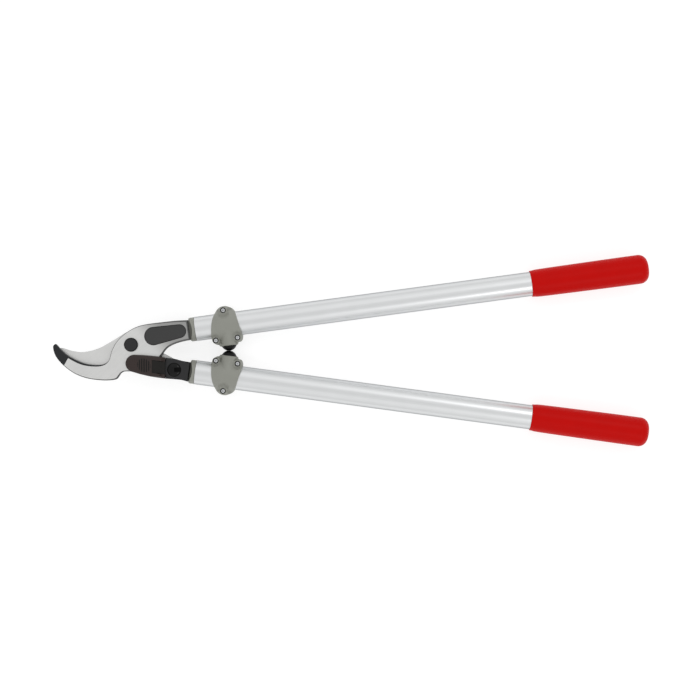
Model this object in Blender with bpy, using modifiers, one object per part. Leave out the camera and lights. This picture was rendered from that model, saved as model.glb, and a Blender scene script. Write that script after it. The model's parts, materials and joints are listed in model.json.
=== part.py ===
"""Bypass loppers with a compound lever head, closed and lying flat.

A fixed hook carries the upper handle. The blade swings behind the hook about the main pivot.
The lower handle ends in a lever that swings in front of the hook about its own pivot, and a
roller on the lever's drive pin pushes the blade's forked tail round.

Every size is in millimetres and MM turns it into Blender's metres. The head is drawn from the
main pivot: +X to the grips, +Y to the upper handle, and Z = 0 midway through the tubes. The
finished object stands on Z = 0 with its origin under the middle of its bounding box.
"""

import math

import bmesh
import bpy
from mathutils import Matrix, Vector

MM = 0.001
GAP = 0.3               # between two pieces that touch
SIDES = {"upper": 1, "lower": -1}

# Tubes and the lines that they follow
TUBE_DIAMETER = 32.4
TUBE_WALL = 1.5
TUBE_LENGTH = 604.0
TUBE_START_X = 85.8     # where each tube starts, from the main pivot
TUBE_START_HALF_GAP = 29.0
CENTRE_LINE_Y = -7.85   # the line that the two handles mirror in
TAPER = math.radians(7.66)

# Grips
GRIP_LENGTH = 158.5
GRIP_LIP = 1.3          # how far the grip stands off the tube at its start,
GRIP_NECK = 2.3         # where the lip has swelled out,
GRIP_SWELL = 3.3        # and where it is thickest
GRIP_NECK_LENGTH = 9.0
GRIP_END_RADIUS = 12.0
GRIP_END_WALL = 8.0

# Ferrules, which carry the two steel stubs inside the tubes
COLLAR_LENGTH = 7.9
COLLAR_RECESS = 0.2     # how far the collar sits under the tube's surface
COLLAR_SLOPE_LENGTH = 4.5
SPIGOT_LENGTH = 38.0
SPIGOT_WALL = 1.5       # at the corners of the bore for the stub
STUB_THICKNESS = 15.0
STUB_LENGTH = 36.0
STUB_ROOT_LENGTH = 20.0 # how far the upper stub runs back under the hook plate

# Hook plate, blade and main pivot
PLATE_THICKNESS = 8.0
BLADE_THICKNESS = 4.5
SLIDE_GAP = 0.15        # from the shear plane to either blade
EDGE_BEVEL_WIDTH = 9.0
EDGE_LAND = 0.4
PIVOT_DIAMETER = 10.0
BOLT_HEAD_DIAMETER = 18.6
BOLT_HEAD_THICKNESS = 2.6
WASHER_DIAMETER = 21.0
WASHER_THICKNESS = 1.0
NUT_ACROSS_FLATS = 15.0
NUT_THICKNESS = 6.0
LOCK_PLATE_DIAMETER = 30.0
LOCK_PLATE_THICKNESS = 2.0
LOCK_NOTCHES = 8
LOCK_SCREW_DIAMETER = 4.0
LOCK_SCREW_HEAD_DIAMETER = 6.6
LOCK_SCREW_HEAD_THICKNESS = 2.6

# Lever, its pivot and the drive pin
LEVER_PIVOT = (4.8, -25.0)
DRIVE_PIN = (58.05, -33.4)
LEVER_THICKNESS = 4.2
LEVER_STEP_X = 47.0     # where the lever widens to the cover's outline
LEVER_DEEP_RADIUS = 37.0
LEVER_PIVOT_DIAMETER = 10.0
LEVER_SCREW_THREAD = 8.0
LEVER_SCREW_HEAD_DIAMETER = 16.0
LEVER_SCREW_HEAD_THICKNESS = 1.8
BUSH_WALL = 1.4
DRIVE_PIN_DIAMETER = 5.0
DRIVE_HEAD_DIAMETER = 17.6
DRIVE_HEAD_THICKNESS = 2.8
ROLLER_DIAMETER = 8.0
ROLLER_SIDE_PLAY = 0.7  # the fork and the lever turn about different pivots
FORK_BOTTOM_PLAY = 0.6
FORK_LENGTH = 15.0      # past the drive pin, where the handles are closed
CLIP_DIAMETER = 10.0
CLIP_THICKNESS = 0.8
PIN_GROOVE_DIAMETER = 3.8

# Lever cover
COVER_END_RADIUS = 11.6
COVER_WALL = 1.6
COVER_SCREW_ROOM = 0.5

# Stop clamps on the tubes
CLAMP_WALL = 3.3        # over the tube, at the flat that the tool rests on
CLAMP_FLAT_DEPTH = 0.8  # cut off the round saddle to make that flat
CLAMP_FLANGE_HEIGHT = 6.0
CLAMP_SPLIT = 0.15
CLAMP_SCREW_X = (40.3, 25.4, 54.7)      # one outside the handles, then two between them
OUTER_SCREW_CLEARANCE = 3.55            # from the tube's surface to the screw's axis
INNER_SCREW_CLEARANCE = 2.8
CLAMP_BOSS_RADIUS = 5.4
CLAMP_BOSS_HEIGHT = 11.0
SCREW_DIAMETER = 3.0
SCREW_HEAD_DIAMETER = 5.5
SCREW_HEAD_HEIGHT = 3.0
SCREW_REACH = 9.0       # into the rear half
COUNTERBORE_DIAMETER = 7.5
COUNTERBORE_FLOOR = 7.5

# Rubber bumpers
BUMPER_X = 41.8
BUMPER_SPHERE_RADIUS = 10.7
BUMPER_SEAT_HEIGHT = 11.8   # above the tube's surface
BUMPER_STEM_DIAMETER = 8.0
BUMPER_STEM_LENGTH = 8.0
SOCKET_RADIUS = 10.3

# Head outlines, from the main pivot
BITE = ((59.0, 32.1), (39.0, 29.9), (22.8, 27.8), (11.5, 25.4), (1.3, 21.1), (-8.1, 14.9),
        (-14.8, 9.0), (-20.2, 2.6), (-24.8, -5.5), (-27.2, -12.5), (-29.0, -19.2),
        (-32.5, -23.9), (-38.0, -26.5), (-48.4, -27.2), (-62.0, -25.3), (-75.2, -20.0),
        (-88.7, -11.8), (-99.7, 0.0))
NOSE = ((-101.3, 1.1), (-103.6, -0.6), (-104.5, -4.0), (-102.1, -13.0), (-96.5, -21.5),
        (-87.3, -30.5), (-75.2, -38.8), (-61.8, -44.2), (-48.4, -46.8), (-35.0, -47.8),
        (-24.2, -47.2), (-18.9, -45.5), (-15.9, -41.6), (-13.3, -38.0), (-9.5, -36.0),
        (-2.0, -35.7), (5.5, -36.6), (16.0, -34.6), (26.8, -28.6), (34.8, -21.3),
        (41.3, -13.6), (48.3, -4.6), (57.7, 0.8), (70.0, 4.6))
BLADE_BACK = ((-98.6, -6.0), (-96.5, -4.6), (-93.0, -4.4), (-82.0, -7.8), (-68.5, -9.8),
              (-55.1, -8.1), (-41.7, -3.5), (-28.3, 3.9), (-14.8, 12.2), (-6.8, 16.9),
              (1.5, 18.1), (9.5, 15.6), (17.0, 8.8), (26.0, -1.0), (35.0, -8.4), (45.0, -12.6))
BLADE_EDGE = ((38.0, -32.6), (25.4, -26.0), (14.7, -20.8), (4.0, -18.1), (-5.4, -17.4),
              (-14.8, -18.0))
CUTTING_EDGE = ((-20.5, -21.5), (-26.0, -26.4), (-33.6, -30.3), (-43.0, -32.9), (-53.8, -33.2),
                (-64.5, -31.0), (-75.2, -25.9), (-84.6, -19.2), (-92.0, -12.6))
FORK_HALF_WIDTHS = (12.3, 8.9)   # above and below the slot's middle line
ARM_END = (13.1, -13.9)          # across the upper tube's axis
LEVER_END = (13.6, -12.4)        # across the lower tube's axis, away from the upper tube first
COVER_TOP = ((14.7, -13.7), (28.1, -14.8), (38.0, -15.8))
COVER_BOTTOM = ((38.9, -44.4), (25.4, -42.3), (12.0, -39.2))
LEVER_TOP = ((47.0, -17.5), (57.7, -18.8), (68.4, -21.6))
LEVER_BOTTOM = ((65.7, -46.8), (47.0, -45.3))

# Clamp outline, as the distance along the tube in millimetres and across it in tube radii
CLAMP_NEAR = ((44.1, 1.56), (38.5, 1.54), (33.2, 1.40), (29.2, 1.14), (24.2, 0.62), (21.6, 0.12),
              (20.1, -0.49), (19.8, -0.96), (21.4, -1.31), (25.9, -1.53), (28.6, -1.59))
CLAMP_FAR = ((54.6, -1.56), (58.6, -1.51), (61.6, -1.28), (61.9, -0.95), (59.9, -0.59),
             (58.3, -0.15), (56.6, 0.46), (55.2, 0.95), (51.6, 1.33))
CLAMP_SEAT_X = (30.2, 53.6)

# Sizes and heights that follow, measured from the tubes' middle plane
TUBE_RADIUS = TUBE_DIAMETER / 2
SPIGOT_RADIUS = TUBE_RADIUS - TUBE_WALL - GAP
STUB_WIDTH = 2 * (math.sqrt((SPIGOT_RADIUS - SPIGOT_WALL) ** 2 - (STUB_THICKNESS / 2 + GAP) ** 2)
                  - GAP)
GRIP_RADIUS = TUBE_RADIUS + GRIP_SWELL
CLAMP_HALF_DEPTH = TUBE_RADIUS + CLAMP_WALL
BUMPER_SEAT = TUBE_RADIUS + BUMPER_SEAT_HEIGHT
CLAMP_SCREWS = tuple(zip(CLAMP_SCREW_X, (
    TUBE_RADIUS + OUTER_SCREW_CLEARANCE, -TUBE_RADIUS - INNER_SCREW_CLEARANCE,
    -TUBE_RADIUS - INNER_SCREW_CLEARANCE)))
PLATE_TOP = SLIDE_GAP + PLATE_THICKNESS
BLADE_REAR = -SLIDE_GAP - BLADE_THICKNESS
LEVER_BASE = PLATE_TOP + GAP
LEVER_TOP_Z = LEVER_BASE + LEVER_THICKNESS
LEVER_SCREW_TOP = LEVER_TOP_Z + GAP + LEVER_SCREW_HEAD_THICKNESS
COVER_CEILING = LEVER_SCREW_TOP + COVER_SCREW_ROOM
COVER_TOP_Z = COVER_CEILING + COVER_WALL
WASHER_REAR = BLADE_REAR - GAP - WASHER_THICKNESS
NUT_REAR = WASHER_REAR - GAP - NUT_THICKNESS
COLLAR_START = -GAP - COLLAR_LENGTH
GRIP_END = TUBE_LENGTH + GAP + GRIP_END_WALL
GRIP_START = GRIP_END - GRIP_LENGTH

# The bounding box, whose middle goes over the origin
BOX_LEFT = min(x for x, _ in NOSE)
BOX_RIGHT = (TUBE_START_X + (GRIP_END - GRIP_END_RADIUS) * math.cos(TAPER) + GRIP_END_RADIUS
             + (GRIP_RADIUS - GRIP_END_RADIUS) * math.sin(TAPER))
FRAME_ORIGIN = (-(BOX_LEFT + BOX_RIGHT) / 2, -CENTRE_LINE_Y, max(CLAMP_HALF_DEPTH, GRIP_RADIUS))

FINE, ROUND, SMALL = 36, 24, 12  # sides of large, middling and small turned shapes


# ---------------------------------------------------------------- scene and materials

def clear_scene():
    for item in list(bpy.data.objects):
        bpy.data.objects.remove(item, do_unlink=True)


def new_collection(name):
    collection = bpy.data.collections.new(name)
    bpy.context.scene.collection.children.link(collection)
    return collection


def material(name, colour, roughness, metallic):
    """A plain Principled finish, made once for each name."""
    if name in bpy.data.materials:
        return bpy.data.materials[name]
    made = bpy.data.materials.new(name)
    made.use_nodes = True
    shader = made.node_tree.nodes["Principled BSDF"]
    shader.inputs["Base Color"].default_value = (*colour, 1.0)
    shader.inputs["Roughness"].default_value = roughness
    shader.inputs["Metallic"].default_value = metallic
    return made


def ground_steel():
    return material("ground_steel", (0.56, 0.56, 0.54), 0.3, 1.0)


def blackened_steel():
    return material("blackened_steel", (0.05, 0.045, 0.042), 0.5, 0.6)


def bright_steel():
    return material("bright_steel", (0.68, 0.68, 0.67), 0.25, 1.0)


def bronze():
    return material("bronze", (0.45, 0.3, 0.12), 0.4, 1.0)


def satin_aluminium():
    return material("satin_aluminium", (0.74, 0.75, 0.76), 0.38, 1.0)


def grey_casting():
    return material("grey_casting", (0.31, 0.32, 0.29), 0.5, 0.3)


def red_rubber():
    return material("red_rubber", (0.5, 0.012, 0.012), 0.45, 0.0)


def black_rubber():
    return material("black_rubber", (0.015, 0.015, 0.015), 0.6, 0.0)


def dark_plastic():
    return material("dark_plastic", (0.04, 0.03, 0.028), 0.45, 0.0)


# ---------------------------------------------------------------- outlines

def spline(points, steps=3):
    """The points of a smooth curve through the given points, ends included."""
    padded = [points[0], *points, points[-1]]
    result = []
    for before, start, end, after in zip(padded, padded[1:], padded[2:], padded[3:]):
        for step in range(steps):
            t = step / steps
            result.append(tuple(
                0.5 * (2 * b + (c - a) * t + (2 * a - 5 * b + 4 * c - d) * t ** 2
                       + (3 * b - a - 3 * c + d) * t ** 3)
                for a, b, c, d in zip(before, start, end, after)))
    return result + [tuple(points[-1])]


def arc(centre, radius, start, end, steps):
    """Points on an arc, with its angles in degrees."""
    turns = [math.radians(start + (end - start) * step / steps) for step in range(steps + 1)]
    return [(centre[0] + radius * math.cos(turn), centre[1] + radius * math.sin(turn))
            for turn in turns]


def on_handle(side, along, across):
    """A point in the head's frame, from its place on one tube's axis."""
    sign = SIDES[side]
    x = TUBE_START_X + along * math.cos(TAPER) - across * math.sin(TAPER)
    y = TUBE_START_HALF_GAP + along * math.sin(TAPER) + across * math.cos(TAPER)
    return x, CENTRE_LINE_Y + sign * y


def on_fork(along, across):
    """A point in the head's frame, from its place on the line from the main pivot to the pin."""
    turn = math.atan2(DRIVE_PIN[1], DRIVE_PIN[0])
    return (along * math.cos(turn) - across * math.sin(turn),
            along * math.sin(turn) + across * math.cos(turn))


def from_lever_pivot(points):
    return [(x - LEVER_PIVOT[0], y - LEVER_PIVOT[1]) for x, y in points]


def shifted(points, distances):
    """Each point of an open outline moved to the left of its direction of travel."""
    moved = []
    for index, (point, distance) in enumerate(zip(points, distances)):
        before = Vector(points[max(index - 1, 0)])
        after = Vector(points[min(index + 1, len(points) - 1)])
        heading = (after - before).normalized()
        moved.append((point[0] - heading.y * distance, point[1] + heading.x * distance))
    return moved


# ---------------------------------------------------------------- building blocks

def empty(name, place, parent=None, turn=0.0):
    made = bpy.data.objects.new(name, None)
    PARTS.objects.link(made)
    made.location = Vector(place) * MM
    made.rotation_euler.z = turn
    made.parent = parent
    return made


def add(name, mesh, parent, finish=None):
    """An object from a mesh: a part when it has a finish, and otherwise a hidden cutter."""
    made = bpy.data.objects.new(name, mesh)
    made.parent = parent
    if finish is None:
        CUTTERS.objects.link(made)
        made.hide_render = True
        made.display_type = "WIRE"
    else:
        PARTS.objects.link(made)
        mesh.materials.append(finish)
    return made


def tidy(mesh, smooth_angle=35.0):
    """Weld a mesh, point its faces out and shade it smooth up to its edges."""
    work = bmesh.new()
    work.from_mesh(mesh)
    bmesh.ops.remove_doubles(work, verts=work.verts, dist=1e-7)
    bmesh.ops.recalc_face_normals(work, faces=work.faces)
    work.to_mesh(mesh)
    work.free()
    mesh.shade_smooth()
    mesh.set_sharp_from_angle(angle=math.radians(smooth_angle))
    return mesh


def plate(name, outline, low, high, parent, finish=None):
    """A flat outline between two heights, from a filled and extruded 2D curve."""
    curve = bpy.data.curves.new(name + "_outline", "CURVE")
    curve.dimensions = "2D"
    curve.fill_mode = "BOTH"
    curve.extrude = (high - low) / 2 * MM
    line = curve.splines.new("POLY")
    line.points.add(len(outline) - 1)
    for point, (x, y) in zip(line.points, outline):
        point.co = (x * MM, y * MM, 0.0, 1.0)
    line.use_cyclic_u = True
    guide = bpy.data.objects.new(name + "_outline", curve)
    CUTTERS.objects.link(guide)
    evaluated = guide.evaluated_get(bpy.context.evaluated_depsgraph_get())
    mesh = bpy.data.meshes.new_from_object(evaluated)
    mesh.name = name
    mesh.transform(Matrix.Translation((0.0, 0.0, (low + high) / 2 * MM)))
    bpy.data.objects.remove(guide, do_unlink=True)
    bpy.data.curves.remove(curve)
    return add(name, tidy(mesh), parent, finish)


def turned(name, profile, parent, finish=None, sides=ROUND, along_x=False, along_y=0):
    """A profile of (radius, height) points from top to bottom, turned about the local Z axis.

    A profile that starts off the axis is closed into a ring. along_x lays the heights along +X,
    and along_y lays them along +Y or -Y.
    """
    ring = profile[0][0] > 0
    mesh = bpy.data.meshes.new(name)
    points = [(radius * MM, 0.0, height * MM) for radius, height in profile]
    edges = [(first, first + 1) for first in range(len(points) - 1)]
    if ring:
        edges.append((len(points) - 1, 0))
    mesh.from_pydata(points, edges, [])
    made = add(name, mesh, parent, finish)
    screw = made.modifiers.new("turn", "SCREW")
    screw.steps = sides
    screw.render_steps = sides
    screw.use_merge_vertices = True
    screw.merge_threshold = 1e-7
    screw.use_smooth_shade = True
    if along_x:
        made.rotation_euler.y = math.radians(90)
    if along_y:
        made.rotation_euler.x = math.radians(-90 * along_y)
    return made


def rod(name, radius, low, high, parent, finish=None, sides=ROUND, **direction):
    """A plain round bar between two heights."""
    profile = ((0.0, high), (radius, high), (radius, low), (0.0, low))
    return turned(name, profile, parent, finish, sides, **direction)


def block(name, lows, highs, parent, finish=None):
    """A box between two corners."""
    work = bmesh.new()
    bmesh.ops.create_cube(work, size=1.0)
    middle = (Vector(lows) + Vector(highs)) / 2 * MM
    size = (Vector(highs) - Vector(lows)) * MM
    bmesh.ops.scale(work, vec=size, verts=work.verts)
    bmesh.ops.translate(work, vec=middle, verts=work.verts)
    mesh = bpy.data.meshes.new(name)
    work.to_mesh(mesh)
    work.free()
    return add(name, mesh, parent, finish)


def lofted(name, layers, parent, finish):
    """A solid through flat outlines with the same number of points, given as (height, outline)."""
    work = bmesh.new()
    rings = [[work.verts.new((x * MM, y * MM, height * MM)) for x, y in outline]
             for height, outline in layers]
    for lower, upper in zip(rings, rings[1:]):
        for index in range(len(lower)):
            after = (index + 1) % len(lower)
            work.faces.new((lower[index], lower[after], upper[after], upper[index]))
    caps = [work.faces.new(rings[0]), work.faces.new(rings[-1])]
    bmesh.ops.triangulate(work, faces=caps)
    mesh = bpy.data.meshes.new(name)
    work.to_mesh(mesh)
    work.free()
    return add(name, tidy(mesh, 20.0), parent, finish)


def combine(target, other, operation):
    change = target.modifiers.new(operation.lower(), "BOOLEAN")
    change.operation = operation
    change.solver = "EXACT"
    change.object = other


def join(target, *others):
    for other in others:
        combine(target, other, "UNION")


def cut(target, *others):
    for other in others:
        combine(target, other, "DIFFERENCE")


def hole(target, centre, diameter, low, high, sides=ROUND):
    """Bore a round hole straight through one height range of a piece."""
    cutter = rod(target.name + "_hole", diameter / 2, low, high, target.parent, sides=sides)
    cutter.location = Vector((centre[0], centre[1], 0.0)) * MM
    cut(target, cutter)


# ---------------------------------------------------------------- hook side

def hook_outline():
    end_top = on_handle("upper", COLLAR_START - GAP, ARM_END[0])
    end_bottom = on_handle("upper", COLLAR_START - GAP, ARM_END[1])
    return spline([end_top, *BITE]) + spline([*NOSE, end_bottom])


def stub(name, side, start):
    """The square bar that a steel head piece reaches into its tube with."""
    width, depth = STUB_WIDTH / 2, STUB_THICKNESS / 2
    return block(name, (start, -width, -depth), (STUB_LENGTH, width, depth), HANDLES[side])


def hook_plate(parent):
    """The hook, the arm and the stub in the upper tube, forged in one."""
    made = plate("hook_plate", hook_outline(), SLIDE_GAP, PLATE_TOP, parent, ground_steel())
    join(made, stub("hook_stub", "upper", COLLAR_START - STUB_ROOT_LENGTH))
    hole(made, (0, 0), PIVOT_DIAMETER + 2 * GAP, -STUB_THICKNESS, 2 * PLATE_TOP)
    hole(made, LEVER_PIVOT, LEVER_SCREW_THREAD + 2 * GAP, -STUB_THICKNESS, 2 * PLATE_TOP)
    return made


def lever_pivot_screw(parent):
    """A shoulder screw, threaded into the hook plate and flush behind it."""
    shoulder = LEVER_PIVOT_DIAMETER / 2
    head = LEVER_SCREW_HEAD_DIAMETER / 2
    thread = LEVER_SCREW_THREAD / 2
    made = turned("lever_pivot_screw", (
        (0.0, LEVER_SCREW_TOP), (head, LEVER_SCREW_TOP), (head, LEVER_TOP_Z + GAP),
        (shoulder, LEVER_TOP_Z + GAP), (shoulder, PLATE_TOP + GAP / 2),
        (thread, PLATE_TOP + GAP / 2), (thread, SLIDE_GAP + GAP), (0.0, SLIDE_GAP + GAP),
    ), parent, blackened_steel())
    made.location = Vector((*LEVER_PIVOT, 0.0)) * MM
    return made


# ---------------------------------------------------------------- blade side

def fork_outline():
    """The tail's end, from its upper prong round the roller's slot to its lower prong."""
    pin = math.hypot(*DRIVE_PIN)
    end = pin + FORK_LENGTH
    slot = ROLLER_DIAMETER / 2 + ROLLER_SIDE_PLAY
    slot_middle = pin - ROLLER_DIAMETER / 2 - FORK_BOTTOM_PLAY + slot
    above, below = FORK_HALF_WIDTHS
    upper = arc((end - (above - slot), slot), above - slot, 90, 0, 4)
    lower = arc((end - (below - slot), -slot), below - slot, 0, -90, 4)
    bottom = arc((slot_middle, 0.0), slot, 90, 270, 8)
    return [on_fork(*point) for point in upper + bottom + lower]


def bevel_widths(count):
    """The grinding's width at each point of the edge, fading out over four at either end."""
    return [-EDGE_BEVEL_WIDTH * min(1.0, index / 4, (count - 1 - index) / 4)
            for index in range(count)]


def blade(parent):
    """The blade, its hub and its forked tail, ground to an edge on its rear side."""
    head = spline(BLADE_BACK)
    shank = spline([*BLADE_EDGE, CUTTING_EDGE[0]])
    edge = spline(CUTTING_EDGE)
    fork = fork_outline()
    full = head + fork + shank + edge
    ground = head + fork + shank + shifted(edge, bevel_widths(len(edge)))
    made = lofted("blade", (
        (BLADE_REAR, ground), (-SLIDE_GAP - EDGE_LAND, full), (-SLIDE_GAP, full),
    ), parent, ground_steel())
    hole(made, (0, 0), PIVOT_DIAMETER + 2 * GAP, 2 * BLADE_REAR, PLATE_TOP)
    lock = (-LOCK_PLATE_DIAMETER / 2, 0.0)
    hole(made, lock, LOCK_SCREW_DIAMETER + 2 * GAP, 2 * BLADE_REAR, PLATE_TOP, SMALL)
    return made


def pivot_bolt(parent):
    """The main pivot: a low round head in front and a thread for the nut behind."""
    head, shank = BOLT_HEAD_DIAMETER / 2, PIVOT_DIAMETER / 2
    base = PLATE_TOP + GAP
    top = base + BOLT_HEAD_THICKNESS
    rounding = BOLT_HEAD_THICKNESS / 3
    return turned("pivot_bolt", (
        (0.0, top), (head - rounding, top), (head, top - rounding), (head, base),
        (shank, base), (shank, NUT_REAR - 1.0), (0.0, NUT_REAR - 1.0),
    ), parent, blackened_steel())


def pivot_washer(parent):
    top = BLADE_REAR - GAP
    inner, outer = PIVOT_DIAMETER / 2 + GAP, WASHER_DIAMETER / 2
    return turned("pivot_washer", (
        (inner, top), (outer, top), (outer, WASHER_REAR), (inner, WASHER_REAR),
    ), parent, bright_steel())


def hexagon(across_flats):
    return arc((0, 0), across_flats / 2 / math.cos(math.radians(30)), 0, 300, 5)


def pivot_nut(parent):
    top = WASHER_REAR - GAP
    made = plate("pivot_nut", hexagon(NUT_ACROSS_FLATS), NUT_REAR, top, parent, bright_steel())
    hole(made, (0, 0), PIVOT_DIAMETER + 2 * GAP, 2 * NUT_REAR, top + 1.0)
    return made


def lock_plate(parent):
    """A notched plate that sits on the nut, so that the lock screw can stop it turning."""
    radius = LOCK_PLATE_DIAMETER / 2
    notch = LOCK_SCREW_HEAD_DIAMETER / 2 + GAP
    half = math.degrees(2 * math.asin(notch / 2 / radius))
    pitch = 360 / LOCK_NOTCHES
    outline = []
    for index in range(LOCK_NOTCHES):
        middle = 180 + pitch * index
        centre = arc((0, 0), radius, middle, middle, 1)[0]
        outline += arc(centre, notch, middle + 270 - half / 2, middle + 90 + half / 2, 6)
        outline += arc((0, 0), radius, middle + half, middle + pitch - half, 3)[1:-1]
    top = WASHER_REAR - GAP
    made = plate("lock_plate", outline, top - LOCK_PLATE_THICKNESS, top, parent, bright_steel())
    socket = plate("lock_plate_socket", hexagon(NUT_ACROSS_FLATS + 2 * GAP), 2 * NUT_REAR,
                   top + 1.0, parent)
    cut(made, socket)
    return made


def lock_screw(parent):
    """The small screw in the blade whose head sits in one notch of the lock plate."""
    head, shank = LOCK_SCREW_HEAD_DIAMETER / 2, LOCK_SCREW_DIAMETER / 2
    base = BLADE_REAR - GAP
    end = base - LOCK_SCREW_HEAD_THICKNESS - WASHER_THICKNESS
    made = turned("lock_screw", (
        (0.0, -SLIDE_GAP - EDGE_LAND), (shank, -SLIDE_GAP - EDGE_LAND), (shank, base),
        (head, base), (head, end), (0.0, end),
    ), parent, blackened_steel(), SMALL)
    made.location.x = -LOCK_PLATE_DIAMETER / 2 * MM
    return made


# ---------------------------------------------------------------- lever side

def cover_outline(end_x, inset=0.0):
    """The cover from the top of its open end round to the bottom, or a line inside it."""
    top = spline([(end_x, LEVER_TOP[0][1]), *reversed(COVER_TOP)])
    round_end = arc(LEVER_PIVOT, COVER_END_RADIUS, 85, 262, 12)
    bottom = spline([*reversed(COVER_BOTTOM), (end_x, LEVER_BOTTOM[-1][1])])
    outline = top + round_end + bottom
    return shifted(outline, [inset] * len(outline))


def lever_outline(left):
    """The lever as seen from the front, with the given points round its left end."""
    along = COLLAR_START - GAP
    end = [on_handle("lower", along, across) for across in LEVER_END]
    return [*left, *reversed(LEVER_BOTTOM), *end, *reversed(LEVER_TOP)]


def lever(parent):
    """The blackened lever: a thin eye in front of the hook and a deep tail into the tube."""
    neck = cover_outline(LEVER_STEP_X, COVER_WALL + GAP)
    made = plate("lever", from_lever_pivot(lever_outline(neck)), LEVER_BASE, LEVER_TOP_Z, parent,
                 blackened_steel())
    deep = lever_outline([neck[0], *arc(LEVER_PIVOT, LEVER_DEEP_RADIUS, 7, -24, 6), neck[-1]])
    body = plate("lever_deep", from_lever_pivot(deep), GAP, LEVER_TOP_Z - LEVER_THICKNESS / 2,
                 parent)
    join(made, body, stub("lever_stub", "lower", COLLAR_START - 2 * GAP))
    bore = LEVER_PIVOT_DIAMETER + 2 * (GAP + BUSH_WALL + GAP)
    hole(made, (0, 0), bore, PLATE_TOP, 2 * LEVER_TOP_Z)
    pin = from_lever_pivot([DRIVE_PIN])[0]
    hole(made, pin, DRIVE_PIN_DIAMETER + 2 * GAP, -STUB_THICKNESS, 2 * LEVER_TOP_Z, SMALL)
    return made


def lever_bush(parent):
    """The bronze bush between the lever's eye and the shoulder screw."""
    inner = LEVER_PIVOT_DIAMETER / 2 + GAP
    outer = inner + BUSH_WALL
    return turned("lever_bush", (
        (inner, LEVER_TOP_Z), (outer, LEVER_TOP_Z), (outer, LEVER_BASE), (inner, LEVER_BASE),
    ), parent, bronze())


def lever_cover(parent):
    """The plastic shell that snaps over the lever's eye."""
    outside = from_lever_pivot(cover_outline(LEVER_STEP_X - GAP))
    inside = from_lever_pivot(cover_outline(LEVER_STEP_X + 1.0, COVER_WALL))
    made = plate("lever_cover", outside, LEVER_BASE, COVER_TOP_Z, parent, dark_plastic())
    cut(made, plate("cover_pocket", inside, PLATE_TOP, COVER_CEILING, parent))
    return made


def drive_pin(parent):
    """The pin through the lever: a domed head in front and a clip groove behind."""
    shank, head = DRIVE_PIN_DIAMETER / 2, DRIVE_HEAD_DIAMETER / 2
    groove = PIN_GROOVE_DIAMETER / 2
    base = LEVER_TOP_Z + GAP
    clip_top = BLADE_REAR - GAP
    clip_end = clip_top - CLIP_THICKNESS - 2 * GAP
    dome = [(head * math.sin(math.radians(15 * step)),
             base + DRIVE_HEAD_THICKNESS * math.cos(math.radians(15 * step)))
            for step in range(7)]
    return turned("drive_pin", (
        *dome, (shank, base), (shank, clip_top), (groove, clip_top), (groove, clip_end),
        (shank, clip_end), (shank, clip_end - 1.0), (0.0, clip_end - 1.0),
    ), parent, blackened_steel(), SMALL + 8)


def drive_roller(parent):
    """The hardened roller that runs in the blade's fork."""
    inner, outer = DRIVE_PIN_DIAMETER / 2 + GAP, ROLLER_DIAMETER / 2
    return turned("drive_roller", (
        (inner, 0.0), (outer, 0.0), (outer, BLADE_REAR), (inner, BLADE_REAR),
    ), parent, bright_steel(), SMALL + 8)


def pin_clip(parent):
    """The C-shaped clip in the drive pin's groove."""
    outer, inner = CLIP_DIAMETER / 2, PIN_GROOVE_DIAMETER / 2 + GAP
    opening = 35
    outline = arc((0, 0), outer, opening, 360 - opening, 16)
    outline += arc((0, 0), inner, 360 - opening, opening, 12)
    top = BLADE_REAR - 2 * GAP
    return plate("pin_clip", outline, top - CLIP_THICKNESS, top, parent, bright_steel())


# ---------------------------------------------------------------- handles

def ferrule(side):
    """The plug in the tube's end, whose collar slopes down to the steel on both faces."""
    collar = TUBE_RADIUS - COLLAR_RECESS
    name = side + "_ferrule"
    made = turned(name, (
        (0.0, SPIGOT_LENGTH), (SPIGOT_RADIUS, SPIGOT_LENGTH), (SPIGOT_RADIUS, -GAP), (collar, -GAP),
        (collar, COLLAR_START), (0.0, COLLAR_START),
    ), HANDLES[side], grey_casting(), FINE, along_x=True)
    far = SPIGOT_LENGTH + 1.0
    top = COLLAR_START + COLLAR_SLOPE_LENGTH
    step = STUB_THICKNESS / 2 + GAP
    side_view = [(COLLAR_START - 1.0, -step), (COLLAR_START - 1.0, step), (COLLAR_START, step),
                 (top, collar), (top, collar + 1.0), (far, collar + 1.0),
                 (far, -collar - 1.0), (top, -collar - 1.0), (top, -collar), (COLLAR_START, -step)]
    shape = plate(name + "_side_view", side_view, -collar - 1.0, collar + 1.0, HANDLES[side])
    shape.rotation_euler.x = math.radians(90)
    combine(made, shape, "INTERSECT")
    width, depth = STUB_WIDTH / 2 + GAP, STUB_THICKNESS / 2 + GAP
    cut(made, block(name + "_bore", (COLLAR_START - 1.0, -width, -depth), (far, width, depth),
                    HANDLES[side]))
    return made


def tube(side):
    outer = TUBE_RADIUS
    inner = outer - TUBE_WALL
    return turned(side + "_tube", (
        (inner, TUBE_LENGTH), (outer, TUBE_LENGTH), (outer, 0.0), (inner, 0.0),
    ), HANDLES[side], satin_aluminium(), FINE, along_x=True)


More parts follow.
